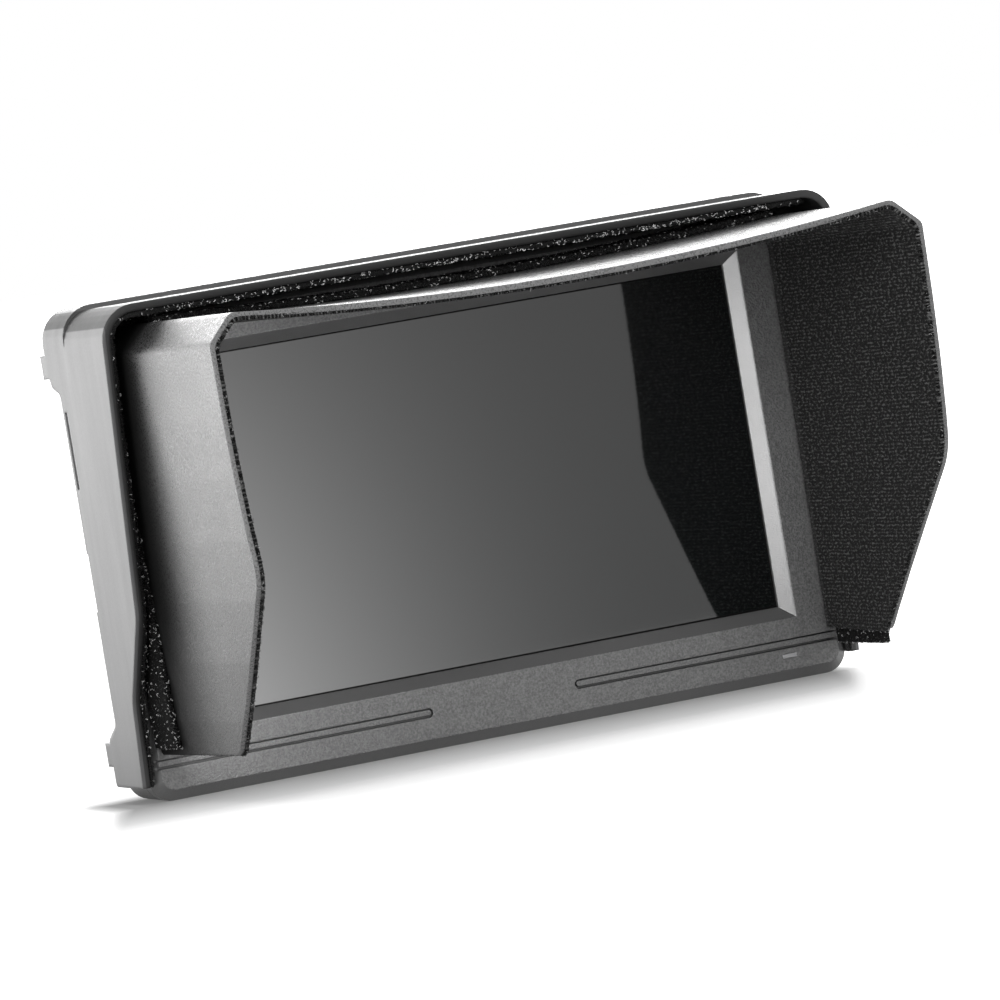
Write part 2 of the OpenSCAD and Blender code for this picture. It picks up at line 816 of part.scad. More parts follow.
module battery_latch() {
    lip_y = rear_y + plate_t - latch_lip;
    head_y = rear_y + plate_t + latch_rise;
    color("#55575a") difference() {
        union() {
            latch_hole(latch_flange, lip_y - flange_gap - latch_flange_t, lip_y - flange_gap);
            latch_hole(0, lip_y - flange_gap - eps, head_y);
        }
        // sloped upper side, over which the battery slides on
        along_x(-latch_w, latch_w) polygon([[head_y + 1, latch_z], [head_y + 1, latch_z + latch_h],
            [rear_y + plate_t + 0.4, latch_z + latch_h], [rear_y + plate_t + 0.4, latch_z + latch_h / 2],
            [head_y, latch_z]]);
    }
}

// One coil spring swept along its helix, behind the latch
module latch_spring() {
    steps = 8;
    sides = 6;
    y0 = rear_y + spring_wire_r;
    y1 = rear_y + plate_t - latch_lip - flange_gap - latch_flange_t - spring_wire_r;
    rings = spring_turns * steps;
    function at(i) = [spring_r * cos(360 * i / steps), y0 + (y1 - y0) * i / rings,
        latch_z + spring_r * sin(360 * i / steps)];
    points = [for (i = [0 : rings], k = [0 : sides - 1])
        let (out = [cos(360 * i / steps), 0, sin(360 * i / steps)])
        at(i) + spring_wire_r * (cos(360 * k / sides) * out + sin(360 * k / sides) * [0, 1, 0])];
    walls = [for (i = [0 : rings - 1], k = [0 : sides - 1])
        let (a = i * sides + k, b = i * sides + (k + 1) % sides, c = b + sides, d = a + sides)
        each [[a, c, b], [a, d, c]]];
    caps = [[for (k = [0 : sides - 1]) k], [for (k = [0 : sides - 1]) rings * sides + sides - 1 - k]];
    color("#a7a9ac") polyhedron(points = points, faces = concat(walls, caps));
}

module plate_screws() {
    len = plate_t - head_sink + rear_wall + plate_boss_len - 0.3;
    color("#8d8f92") for (spot = plate_spots) screw(spot, rear_y + plate_t - head_sink + head_h, len);
}

// ---------- hood frame and its strips ----------

// Frame's outline seen from the side, in Y and Z; the strips use it set back behind the rim
function frame_side(setback, low_setback) = let (top = frame_out_z + rear_rise + 1) rounded([
    [face_y - rim_top_reach + setback, top, 0],
    [face_y - rim_knee_reach + setback, rim_knee_z, 6],
    [face_y - rim_low_reach + low_setback, rim_low_z, 8],
    [face_y - rim_foot_reach + low_setback, frame_foot_z, 0],
    [face_y + lobe_depth, frame_foot_z, 1],
    [face_y + lobe_depth, lobe_low_z - lobe_slope, 1.5],
    [face_y + waist_depth, lobe_low_z + lobe_slope, 1.5],
    [face_y + waist_depth, lobe_high_z - lobe_slope / 2, 1.5],
    [face_y + lobe_depth - 1.5, lobe_high_z + lobe_slope / 2, 1.5],
    [face_y + lobe_depth, lobe_high_z + 4, 2],
    [face_y + lobe_depth, top, 0]]);

// Arch with rounded top corners, open below
module arch(half_w, top, r) {
    polygon(rounded([[-half_w, -1, 0], [half_w, -1, 0], [half_w, top, r], [-half_w, top, r]]));
}

module frame_arch(rise) {
    difference() {
        arch(frame_out_x, frame_out_z + rise, frame_corner_r);
        arch(frame_in_x, frame_in_z, frame_in_r);
    }
}

module hook_tab(side, z) {
    y1 = rear_y + tab_gap + tab_t;
    outer = side * frame_out_x;
    inner = side * frame_in_x;
    tip = side * (frame_out_x - tab_wrap);
    block(min(outer, inner), max(outer, inner), face_y + lobe_depth - 3, y1, z - tab_h / 2, z + tab_h / 2);
    block(min(outer, tip), max(outer, tip), rear_y + tab_gap, y1, z - tab_h / 2, z + tab_h / 2);
}

// Rib in the corner that the face's chamfer leaves, so the frame can't slide back over the face
module stop_rib(side) {
    front = face_y - rib_front;
    edge = frame_in_x + frame_wall / 2;
    start = face_w / 2 + rib_gap * sqrt(2);
    translate([0, 0, rib_foot_z]) linear_extrude(rib_top_z - rib_foot_z)
        polygon([[side * edge, front], [side * (start - rib_front), front],
            [side * frame_in_x, face_y + frame_in_x - start], [side * edge, face_y + frame_in_x - start]]);
}

// Slit before a socket on the left
module port_slit(y0, y1, z, h) {
    block(-frame_out_x - 1, -frame_in_x + 1, y0, y1, z - h / 2 - slit_margin, z + h / 2 + slit_margin);
}

module hood_frame() {
    color("#b9babb") difference() {
        union() {
            intersection() {
                union() {
                    along_y(face_y - rim_top_reach - 1, rear_y) frame_arch(0);
                    along_y(face_y + rise_depth, rear_y) frame_arch(rear_rise);
                }
                along_x(-frame_out_x - 1, frame_out_x + 1) polygon(frame_side(0, 0));
            }
            for (side = [-1, 1]) {
                hook_tab(side, tab_low_z);
                hook_tab(side, tab_high_z);
                stop_rib(side);
            }
        }
        // rear edge stands back over the top buttons
        translate([button_mid_x, face_y + notch_depth + body_depth / 2, frame_in_z - 2]) linear_extrude(10)
            rounded_rect(2 * notch_x, body_depth, notch_r);
        port_slit(face_y + slit_depth, face_y + slit_depth + slit_w, screen_z + video_in_z, video_h);
        port_slit(face_y + waist_depth - small_slit_w, face_y + waist_depth + 1,
            screen_z + video_out_z, mini_video_h);
    }
}

module loop_band(y1) {
    along_y(face_y - rim_top_reach, y1) difference() {
        arch(frame_in_x - glue, frame_in_z - glue, frame_in_r - glue);
        arch(frame_in_x - loop_t, frame_in_z - loop_t, frame_in_r - loop_t);
    }
}

// The left strip turns the corner and runs on along the top, the right one stops below its corner.
// Below the stop ribs both run back into the face's chamfer.
module frame_loop_strips() {
    color("#161617") difference() {
        intersection() {
            union() {
                loop_band(face_y - strip_start);
                intersection() {
                    loop_band(face_y + strip_tuck);
                    block(-frame_out_x, frame_out_x, face_y - rim_top_reach, face_y + strip_tuck,
                        frame_foot_z - 1, rib_foot_z - 1);
                }
            }
            along_x(-frame_out_x, frame_out_x) polygon(frame_side(strip_setback, strip_low_setback));
        }
        block(right_bare_x, frame_out_x, face_y - rim_top_reach - 1, face_y,
            frame_in_z - right_bare_z, frame_out_z);
        for (side = [-1, 1])
            block(side * frame_in_x - 3, side * frame_in_x + 3, face_y - rim_top_reach - 1, face_y,
                -2, frame_foot_z - 0.6);
    }
}

// ---------- sun hood ----------

// Inward lean of the side panel at a height z and a distance reach before the face
function hood_lean(z, reach) = let (share = max(0, (hood_crease_z - z) / (hood_crease_z - hood_bottom_z)))
    hood_lean_base * share + hood_lean_front * pow(share, hood_lean_power) * reach / hood_low_reach;

function hood_sag(reach) = hood_sag_base + (hood_sag_front - hood_sag_base) * reach / hood_reach;

// Half section of the hood, set in by t, from its foot at low_z up to the middle of the top
function hood_half(t, reach, low_z) =
    let (crease = [hood_half_w - t, hood_crease_z - t * octagon_share],
         shoulder = [hood_half_w - hood_chamfer - t * octagon_share, hood_top_z - t],
         foot = [for (i = [0 : side_steps - 1])
             let (z = low_z + (crease.y - hood_crease_r - low_z) * i / (side_steps - 1))
             [crease.x - hood_lean(z, reach), z]],
         bend = corner_arc([crease.x, low_z], crease, shoulder, hood_crease_r, crease_steps),
         turn = corner_arc(crease, shoulder, [0, shoulder.y], hood_crease_r, crease_steps),
         roof_x = turn[crease_steps].x,
         roof = [for (i = [1 : top_steps / 2])
             let (x = roof_x * (1 - 2 * i / top_steps))
             [x, shoulder.y - hood_sag(reach) * (1 - pow(x / roof_x, 2))]])
    concat(foot, bend, turn, roof);

// Whole section, from the right foot over the top to the left foot
function hood_line(t, reach, low_z) =
    let (half = hood_half(t, reach, low_z), n = len(half))
    concat(half, [for (i = [n - 2 : -1 : 0]) [-half[i].x, half[i].y]]);

function backwards(list) = [for (i = [len(list) - 1 : -1 : 0]) list[i]];

// Sheet between the hood's surface set in by t0 and by t1, from reach0 to reach1 before the face
module hood_sheet(t0, t1, reach0, reach1, low_z) {
    rows = [for (j = [0 : hood_stations]) let (reach = reach0 + (reach1 - reach0) * j / hood_stations)
        [for (p = concat(hood_line(t0, reach, low_z), backwards(hood_line(t1, reach, low_z))))
            [p.x, face_y - reach, p.y]]];
    n = len(rows[0]);
    walls = [for (j = [0 : hood_stations - 1], i = [0 : n - 1])
        let (a = j * n + i, b = j * n + (i + 1) % n, c = b + n, d = a + n)
        each [[a, c, b], [a, d, c]]];
    last = hood_stations * n;
    near_cap = [for (i = [0 : n / 2 - 2]) each [[i, i + 1, n - 1 - i], [i + 1, n - 2 - i, n - 1 - i]]];
    far_cap = [for (i = [0 : n / 2 - 2]) each [[last + i, last + n - 1 - i, last + i + 1],
        [last + i + 1, last + n - 1 - i, last + n - 2 - i]]];
    polyhedron(points = [for (row = rows) each row], faces = concat(walls, near_cap, far_cap));
}

// Hood's outline seen from the side, in Y and Z, set in by an inset
module hood_side(inset) {
    polygon(rounded([
        [hood_base_y - inset, hood_bottom_z + inset, 1],
        [hood_base_y - inset, hood_top_z + 5, 0],
        [face_y - hood_reach + hood_top_setback + inset, hood_top_z + 5, 0],
        [face_y - hood_reach + hood_top_setback + inset, hood_top_z, 0],
        [face_y - hood_reach + inset, hood_crease_z, 4],
        [face_y - hood_reach + inset + 0.4, screen_z + hood_knee_z, hood_knee_r],
        [face_y - hood_low_reach + inset, hood_bottom_z + inset, hood_corner_r]]));
}

module hood_shell() {
    color("#6f7072") intersection() {
        hood_sheet(0, hood_wall, 0, hood_reach + 2, hood_bottom_z - 5);
        along_x(-frame_out_x, frame_out_x) hood_side(0);
    }
}

module hood_lining() {
    color("#1b1b1c") intersection() {
        hood_sheet(hood_wall + glue, hood_wall + glue + lining_t, 0, hood_reach + 2, hood_bottom_z - 5);
        along_x(-frame_out_x, frame_out_x) hood_side(lining_inset);
    }
}

// The left strip follows the leaning panel, the top strip leaves the chamfered corners bare
// and the right strip hangs straight from the panel's upper part.
module hood_hook_strips() {
    y1 = face_y - strip_start;
    foot_z = screen_z - hook_right_drop;
    head_z = screen_z + hook_side_top;
    side = [for (spot = [[hook_t, foot_z], [hook_t, head_z], [glue, head_z], [glue, foot_z]])
        [hood_half_w + spot[0] - hood_lean(spot[1], 0), spot[1]]];
    color("#161617") {
        intersection() {
            hood_sheet(-hook_t, -glue, 0, hook_w + 4, screen_z - hook_left_drop - 2);
            union() {
                block(-hood_half_w - 6, -hood_half_w + 6, y1 - hook_left_w, y1,
                    screen_z - hook_left_drop, head_z);
                block(-hook_top_half, hook_top_half, y1 - hook_w, y1, hood_crease_z, frame_in_z);
            }
        }
        along_y(y1 - hook_right_w, y1) polygon(side);
    }
}

front_bezel();
rear_cover();
cover_glass();
glass_gasket();
lcd_panel();
backlight_unit();
panel_bracket();
bracket_screws();
panel_flex();
board_standoffs();
main_board();
board_screws();
button_board();
tact_switches();
button(0);  // f1_button
button(1);  // f2_button
button(2);  // menu_button
button(3);  // down_button
button(4);  // up_button
button(5);  // power_button
indicator_light();
video_in_socket();
video_out_socket();
headphone_socket();
power_socket();
battery_plate();
battery_contacts();
battery_latch();
latch_spring();
plate_screws();
tripod_insert();
case_screws();
hood_frame();
frame_loop_strips();
hood_shell();
hood_lining();
hood_hook_strips();
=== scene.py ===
"""Looks of a camera field monitor with its sun hood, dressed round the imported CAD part."""

import math

import bmesh
import bpy
from bpy.props import FloatProperty, FloatVectorProperty, IntProperty, PointerProperty
from mathutils import Matrix, Vector, noise


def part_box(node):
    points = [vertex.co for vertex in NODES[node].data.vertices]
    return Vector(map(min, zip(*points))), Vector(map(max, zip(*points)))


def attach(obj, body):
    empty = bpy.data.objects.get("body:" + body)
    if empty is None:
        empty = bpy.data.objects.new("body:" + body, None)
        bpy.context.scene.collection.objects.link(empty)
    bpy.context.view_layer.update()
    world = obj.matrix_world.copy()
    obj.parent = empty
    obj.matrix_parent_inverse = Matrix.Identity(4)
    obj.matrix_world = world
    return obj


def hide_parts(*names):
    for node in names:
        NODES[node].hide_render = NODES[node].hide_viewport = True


bl_info = {
    "name": "Field Monitor with Sun Hood",
    "version": (1, 0, 0),
    "blender": (4, 5, 0),
    "location": "View3D > Sidebar > Monitor",
    "description": "Dresses the field monitor, its hood frame and its sun hood",
    "category": "Object",
}

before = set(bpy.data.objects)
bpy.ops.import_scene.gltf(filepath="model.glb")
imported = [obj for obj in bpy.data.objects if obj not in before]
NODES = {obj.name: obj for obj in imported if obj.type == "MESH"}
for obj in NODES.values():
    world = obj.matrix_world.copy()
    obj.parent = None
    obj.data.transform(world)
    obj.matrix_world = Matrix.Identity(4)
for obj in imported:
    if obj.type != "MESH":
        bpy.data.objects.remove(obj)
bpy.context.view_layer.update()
MM = 0.001

# Half width, half height and middle height of the window's glass
GLASS_HALF_W, GLASS_HALF_H, GLASS_Z = 60.9 * MM, 34.25 * MM, 48.75 * MM
# Lower and upper height of the two long grooves in the face, and their outer ends
GROOVE_LOW, GROOVE_HIGH, GROOVE_END = 6.1 * MM, 8.45 * MM, 71.5 * MM
# A point inside the hood that tells its inner faces from its outer ones
HOOD_MIDDLE = Vector((0, 0, 45 * MM))


# ---------- shader maths ----------


class Wire:
    """A shader socket that takes part in Python expressions."""

    def __init__(self, paint, socket):
        self.paint, self.socket = paint, socket

    def maths(self, operation, *values, clamp=False):
        settings = {"operation": operation, "use_clamp": clamp}
        return self.paint.wire("ShaderNodeMath", settings, dict(enumerate(values)))

    def __add__(self, other):
        return self.maths("ADD", self, other)

    def __radd__(self, other):
        return self.maths("ADD", other, self)

    def __sub__(self, other):
        return self.maths("SUBTRACT", self, other)

    def __rsub__(self, other):
        return self.maths("SUBTRACT", other, self)

    def __mul__(self, other):
        return self.maths("MULTIPLY", self, other)

    def __rmul__(self, other):
        return self.maths("MULTIPLY", other, self)

    def __truediv__(self, other):
        return self.maths("DIVIDE", self, other)

    def __pow__(self, other):
        return self.maths("POWER", self, other)

    def __abs__(self):
        return self.maths("ABSOLUTE", self)

    def clamp(self):
        return self.maths("ADD", self, 0.0, clamp=True)

    def sine(self):
        return self.maths("SINE", self)

    def above(self, edge, soft):
        """0 below the edge, 1 above it, with a soft step between."""
        return ((self - (edge - soft)) / (2 * soft)).clamp()


class Paint:
    """One node-based material, or the world's nodes."""

    def __init__(self, name, tree_owner=None):
        self.owner = tree_owner or bpy.data.materials.new(name)
        self.owner.use_nodes = True
        self.tree = self.owner.node_tree
        self.tree.nodes.clear()
        self.coordinates = None

    def node(self, kind, settings=(), sockets=()):
        made = self.tree.nodes.new(kind)
        for key, value in dict(settings).items():
            setattr(made, key, value)
        for key, value in dict(sockets).items():
            if isinstance(value, Wire):
                self.tree.links.new(value.socket, made.inputs[key])
            elif value is not None:
                made.inputs[key].default_value = value
        return made

    def wire(self, kind, settings=(), sockets=(), output=0):
        return Wire(self, self.node(kind, settings, sockets).outputs[output])

    def place(self):
        """Object coordinates, in metres."""
        if self.coordinates is None:
            self.coordinates = self.wire("ShaderNodeTexCoord", output="Object")
        return self.coordinates

    def axis(self, index, vector=None):
        return self.wire("ShaderNodeSeparateXYZ", sockets={0: vector or self.place()}, output=index)

    def stretched(self, scale):
        return self.wire("ShaderNodeVectorMath", {"operation": "MULTIPLY"}, {0: self.place(), 1: scale})

    def noise(self, size, detail=2.0, rough=0.5, vector=None):
        """Noise from 0 to 1, with grains of about the given size in metres."""
        sockets = {"Vector": vector or self.place(), "Scale": 1 / size, "Detail": detail, "Roughness": rough}
        return self.wire("ShaderNodeTexNoise", {"noise_dimensions": "3D"}, sockets)

    def cells(self, size, feature="F1"):
        sockets = {"Vector": self.place(), "Scale": 1 / size}
        return self.wire("ShaderNodeTexVoronoi", {"feature": feature}, sockets, "Distance")

    def mix(self, share, first, second):
        """A colour between two."""
        sockets = {"Factor": share, "A": first, "B": second}
        made = self.node("ShaderNodeMix", {"data_type": "RGBA"})
        for key, value in sockets.items():
            inlet = [s for s in made.inputs if s.name == key and s.enabled][0]
            if isinstance(value, Wire):
                self.tree.links.new(value.socket, inlet)
            else:
                inlet.default_value = value
        return Wire(self, [s for s in made.outputs if s.enabled][0])

    def tint(self, colour, share):
        """A colour made darker or lighter by a share round 1."""
        return self.wire("ShaderNodeVectorMath", {"operation": "SCALE"}, {0: colour[:3], "Scale": share})

    def larger(self, first, second, clamp=False):
        return self.wire("ShaderNodeMath", {"operation": "MAXIMUM", "use_clamp": clamp}, {0: first, 1: second})

    def bump(self, height, depth, normal=None):
        sockets = {"Height": height, "Distance": depth, "Strength": 1.0, "Normal": normal}
        return self.wire("ShaderNodeBump", sockets=sockets)

    def soft_edges(self, radius):
        return self.wire("ShaderNodeBevel", {"samples": 6}, {"Radius": radius})

    def edge_mask(self, rounded_normal, gain=6.0):
        """1 on convex and concave edges, 0 on flat faces."""
        flat = self.wire("ShaderNodeNewGeometry", output="Normal")
        same = self.wire("ShaderNodeVectorMath", {"operation": "DOT_PRODUCT"}, {0: flat, 1: rounded_normal}, "Value")
        return ((1 - same) * gain).clamp()

    def attribute(self, name):
        return self.wire("ShaderNodeAttribute", {"attribute_name": name}, output="Fac")

    def principled(self, **values):
        """A Principled shader; values are its sockets by name, with _ for a space."""
        sockets = {key.replace("_", " "): value for key, value in values.items()}
        return self.wire("ShaderNodeBsdfPrincipled", sockets=sockets)

    def shown(self, shader):
        """The finished material, with the shader on its output."""
        self.node("ShaderNodeOutputMaterial", sockets={"Surface": shader})
        return self.owner

    def surface(self, **values):
        return self.shown(self.principled(**values))

    def blend(self, share, first, second):
        """A shader between two."""
        return self.wire("ShaderNodeMixShader", sockets={0: share, 1: first, 2: second})


def rgb(colour):
    return (*colour[:3], 1.0)


def grey(level):
    return (level, level, level, 1.0)


# ---------- sizes and colours a user may change ----------


def colour_field(name, description, default):
    return FloatVectorProperty(
        name=name, description=description, default=default, subtype="COLOR", min=0, max=1, size=3
    )


def length_field(name, description, default):
    return FloatProperty(name=name, description=description, default=default, subtype="DISTANCE", unit="LENGTH")


def angle_field(name, description, default):
    return FloatProperty(name=name, description=description, default=default, subtype="ANGLE")


def count_field(name, description, default):
    return FloatProperty(name=name, description=description, default=default, min=0)


class MonitorFinish(bpy.types.PropertyGroup):
    """Colours and grains of the monitor's plastic, glass and metal."""

    case_colour: colour_field("Case", "Moulded plastic of bezel and rear cover", (0.088, 0.088, 0.088))
    frame_colour: colour_field("Hood frame", "Smooth plastic of the hood frame", (0.06, 0.06, 0.061))
    hood_colour: colour_field("Hood", "Speckled plastic of the sun hood", (0.03, 0.03, 0.0302))
    button_colour: colour_field("Buttons", "Caps of the top buttons", (0.04, 0.04, 0.041))
    grain: length_field("Grain", "Size of the case's leather grain", 0.36 * MM)
    grain_depth: length_field("Grain depth", "Depth of the case's leather grain", 0.045 * MM)
    edge: length_field("Edge", "Rounding seen on moulded edges", 0.25 * MM)
    # The next two set the painted shade at the base of the sun hood's sides: its reach at the floor and its gain with
    # height.
    painted_shade_reach: length_field("Tape", "Reach of the black tape on the hood at the height of the floor", 7.8 * MM)
    painted_shade_slope: FloatProperty(name="Tape slope", description="Gain of the tape's reach with height", default=0.15)


class StudioSettings(bpy.types.PropertyGroup):
    """Camera and floor."""

    azimuth: angle_field("Azimuth", "Camera's turn from the front", 0.349295)
    elevation: angle_field("Elevation", "Camera's height", 0.0472628)
    roll: angle_field("Roll", "Camera's roll", -0.164172)
    distance: length_field("Distance", "From the camera to the face of the screen", 1.3589056)
    shift_x: length_field("Shift right", "Screen's place right of the view's centre", -0.005906433)
    shift_y: length_field("Shift up", "Screen's place above the view's centre", 0.002324682)
    lens: FloatProperty(name="Lens", description="Focal length in mm on a 36 mm sensor", default=252.445)
    floor_size: length_field("Floor", "Side of the floor", 24.0)


# ---------- materials ----------


def moulded(name, colour, rough, grain, depth, speckle=0.25, edge=0.25 * MM, mottle=0.06, edge_highlight=0.0, shine=0.5):
    """Plastic from a textured mould: fine grain, a slight mottle, softened edges, and if asked a painted highlight
    that lightens the edges.
    """
    p = Paint(name)
    fine = ((p.noise(grain, 2, 0.55) - 0.5) * 2.2 + 0.5).clamp()
    broad = p.noise(14 * MM, 2)
    rounded = p.soft_edges(edge)
    share = 1 + (fine - 0.5) * speckle * 2 + (broad - 0.5) * mottle * 2
    # Painted highlight: the edge mask lightens the colour along the moulded edges.
    if edge_highlight:
        share = share + p.edge_mask(rounded) * edge_highlight
    return p.surface(
        Base_Color=p.tint(colour, share),
        Roughness=(rough + (fine - 0.5) * 0.12 + (broad - 0.5) * 0.08).clamp(),
        Specular_IOR_Level=shine,
        Normal=p.bump(fine, depth, rounded),
    )


def bezel_plastic(look):
    """The case's plastic with leather grain on the front face, and smooth bevels, grooves and edges."""
    p = Paint("bezel_plastic")
    wrinkle = ((p.noise(look.grain, 3, 0.6) - 0.5) * 3 + 0.5).clamp()
    fine = p.noise(0.16 * MM, 2)
    broad = p.noise(14 * MM, 2)
    face_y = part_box("front_bezel")[0].y
    sunk, height = p.axis(1) - face_y, p.axis(2)
    face = 1 - sunk.above(0.18 * MM, 0.06 * MM)
    # Painted shade: the floors of the two long grooves are painted nearly black.
    in_groove = height.above(GROOVE_LOW, 0.05 * MM) * (1 - height.above(GROOVE_HIGH, 0.05 * MM))
    in_groove = in_groove * (1 - abs(p.axis(0)).above(GROOVE_END, 0.1 * MM)) * sunk.above(0.45 * MM, 0.15 * MM)
    rounded = p.soft_edges(look.edge)
    # The edge mask term paints a highlight along the moulded edges.
    share = 1 + (wrinkle - 0.5) * face * 0.9 + (broad - 0.5) * 0.2 + (fine - 0.5) * 0.3 + p.edge_mask(rounded) * 0.6
    return p.surface(
        Base_Color=p.tint(look.case_colour, share * (1 - in_groove * 0.9)),
        Roughness=(0.32 + face * 0.16 + (fine - 0.5) * 0.1 + (broad - 0.5) * 0.06).clamp(),
        Specular_IOR_Level=0.9,
        Normal=p.bump(wrinkle * (face * 0.75 + 0.25) + fine * 0.2, look.grain_depth, rounded),
    )


def metal(name, colour, rough, brushed=(1, 1, 1)):
    p = Paint(name)
    fine = p.noise(0.25 * MM, 3, 0.6, p.stretched(brushed))
    broad = p.noise(3 * MM, 2)
    return p.surface(
        Base_Color=p.tint(colour, 0.86 + fine * 0.16 + broad * 0.12),
        Metallic=1.0,
        Roughness=(rough + (fine - 0.5) * 0.25).clamp(),
        Normal=p.bump(fine, 0.01 * MM, p.soft_edges(0.1 * MM)),
    )


def frame_plastic(look):
    """Smooth dark plastic with faint vertical streaks and scuffs. Painted light and shade: the outer skin of the
    sides and roof is lighter than the rim and the inside, and the colour darkens towards the top. The rim and inside
    are also rougher.
    """
    p = Paint("hood_frame_plastic")
    half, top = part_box("hood_frame")[1].x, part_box("hood_frame")[1].z
    skin, roof_skin, soft = 0.7 * MM, 1 * MM, 0.1 * MM
    outside = (abs(p.axis(0)) - (half - skin)) / soft
    roof = (p.axis(2) - (top - roof_skin)) / soft
    outer = p.larger(outside, roof, clamp=True)
    streak = p.noise(5 * MM, 3, 0.6, p.stretched((1, 1, 0.12)))
    fine = p.noise(0.3 * MM, 2)
    scuff = p.noise(1.6 * MM, 4, 0.7, p.stretched((1, 1, 0.3))).above(0.66, 0.05)
    # Painted light and shade: the outer skin is painted lit, the rim and the inside shaded.
    share = (0.15 + outer * 0.85) * (0.9 + streak * 0.2 + (fine - 0.5) * 0.16 - scuff * 0.12)
    # Painted shade: darker towards the top.
    share = share * (1.1 - p.axis(2) * (0.5 / top))
    return p.surface(
        Base_Color=p.tint(look.frame_colour, share),
        Roughness=(0.4 + (streak - 0.5) * 0.14 + (fine - 0.5) * 0.1 + (1 - outer) * 0.15).clamp(),
        Specular_IOR_Level=0.8,
        Normal=p.bump(fine, 0.014 * MM, p.soft_edges(0.9 * MM)),
    )


def hood_plastic(look):
    """Speckled semi-matt plastic with painted highlights on its creases and front rim, and near-black painted shade
    that fades out from the base of the sides.
    """
    p = Paint("hood_speckle")
    speck = ((p.noise(0.42 * MM, 2, 0.6) - 0.5) * 2.6 + 0.5).clamp()
    glint = p.noise(0.5 * MM, 1).above(0.72, 0.03)
    broad = p.noise(12 * MM, 2)
    rounded = p.soft_edges(0.6 * MM)
    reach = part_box("front_bezel")[0].y - p.axis(1)
    # Painted shade: a near-black zone from the base of the sides that widens with height, then a soft fade.
    past_painted_shade = reach - p.axis(2) * look.painted_shade_slope - look.painted_shade_reach
    clear_of_shade = past_painted_shade.above(0.0, 0.08 * MM)
    # The painted shade's fade reaches furthest at one height, and less above and below it. The roof has none.
    widest_z, fade_reach, narrowing, roof_half = 30 * MM, 33 * MM, 8, 64 * MM
    from_widest = p.axis(2) - widest_z
    fade = (1 - past_painted_shade / (fade_reach - from_widest * from_widest * narrowing)).clamp()
    fade = fade * fade * (3 - 2 * fade) * 0.96
    # Share of the painted shade, on the sides only.
    tape = abs(p.axis(0)).above(roof_half, 1 * MM) * p.larger(1 - clear_of_shade, fade)
    # Painted highlights: the front-facing rim and the creases are painted lighter.
    rim = (p.axis(1, p.wire("ShaderNodeTexCoord", output="Normal")) * -1).above(0.6, 0.2)
    share = 1 + (speck - 0.5) * 0.7 + (broad - 0.5) * 0.2 + glint * 1.2 + p.edge_mask(rounded) * 0.8 + rim * 1.5
    plastic = p.principled(
        Base_Color=p.tint(look.hood_colour, share),
        Roughness=(0.3 + (speck - 0.5) * 0.22 + (broad - 0.5) * 0.08).clamp(),
        Specular_IOR_Level=0.75,
        Normal=p.bump(speck, 0.035 * MM, rounded),
    )
    # The near-black shader of the painted shade.
    painted_shade_shader = p.principled(
        Base_Color=p.tint((0.005, 0.005, 0.005), 0.6 + broad * 0.8),
        Roughness=(0.75 + (speck - 0.5) * 0.1).clamp(),
        Specular_IOR_Level=0.12,
    )
    return p.shown(p.blend(tape, plastic, painted_shade_shader))


def screen_glass():
    """Glossy dark glass over an unlit display, with a rough black band painted along its edge as the shadow in the
    gap at the bezel.
    """
    p = Paint("screen_glass")
    smear = p.noise(30 * MM, 3, 0.6)
    # Painted shadow: a near-black band along the glass's edges where it meets the bezel.
    sides = abs(p.axis(0)).above(GLASS_HALF_W - 0.3 * MM, 0.05 * MM)
    ends = abs(p.axis(2) - GLASS_Z).above(GLASS_HALF_H - 0.35 * MM, 0.05 * MM)
    glass = p.principled(
        Base_Color=p.tint((0.002, 0.0028, 0.0028), 0.9 + smear * 0.2),
        Roughness=(0.035 + (smear - 0.5) * 0.02).clamp(),
        IOR=2.3,
    )
    painted_shade_shader = p.principled(
        Base_Color=p.tint((0.002, 0.002, 0.002), 0.6 + smear * 0.8),
        Roughness=(0.7 + (smear - 0.5) * 0.1).clamp(),
        Specular_IOR_Level=0.1,
    )
    return p.shown(p.blend(p.larger(sides, ends), glass, painted_shade_shader))


def board_green(name):
    p = Paint(name)
    tracks = p.cells(2.4 * MM, "DISTANCE_TO_EDGE").above(0.06, 0.02)
    colour = p.mix(tracks, rgb((0.02, 0.12, 0.06)), rgb((0.012, 0.07, 0.035)))
    return p.surface(Base_Color=colour, Roughness=0.4, Normal=p.bump(tracks, 0.03 * MM))


def black_cloth(name, level, thread, shine=0.25):
    """Black woven tape under the fibres."""
    p = Paint(name)
    fine = p.noise(thread, 3, 0.6)
    knots = p.cells(thread * 1.5)
    return p.surface(
        Base_Color=p.tint((level, level, level), 0.5 + fine),
        Roughness=(0.8 + (fine - 0.5) * 0.3).clamp(),
        Specular_IOR_Level=shine,
        Normal=p.bump(fine + knots, 0.12 * MM),
    )


def nylon_fibre(name, dark, bright, glints, roof=1.0):
    """Black nylon. A share of the fibres catches the light, and roof times that share on the roof."""
    p = Paint(name)
    tone, roof_half = p.attribute("tone"), 62 * MM
    high = 1 - abs(p.axis(0)).above(roof_half, 4 * MM)
    share = glints * (1 - high) + glints * roof * high
    lit = (tone - (1 - share)).above(0.0, 0.02)
    return p.surface(
        Base_Color=p.mix(lit, grey(dark), grey(bright)),
        Roughness=(0.5 - tone * 0.15).clamp(),
        Specular_IOR_Level=0.4,
    )


def paint_node(names, material):
    for name in names:
        slots = NODES[name].data.materials
        slots.clear()
        slots.append(material)


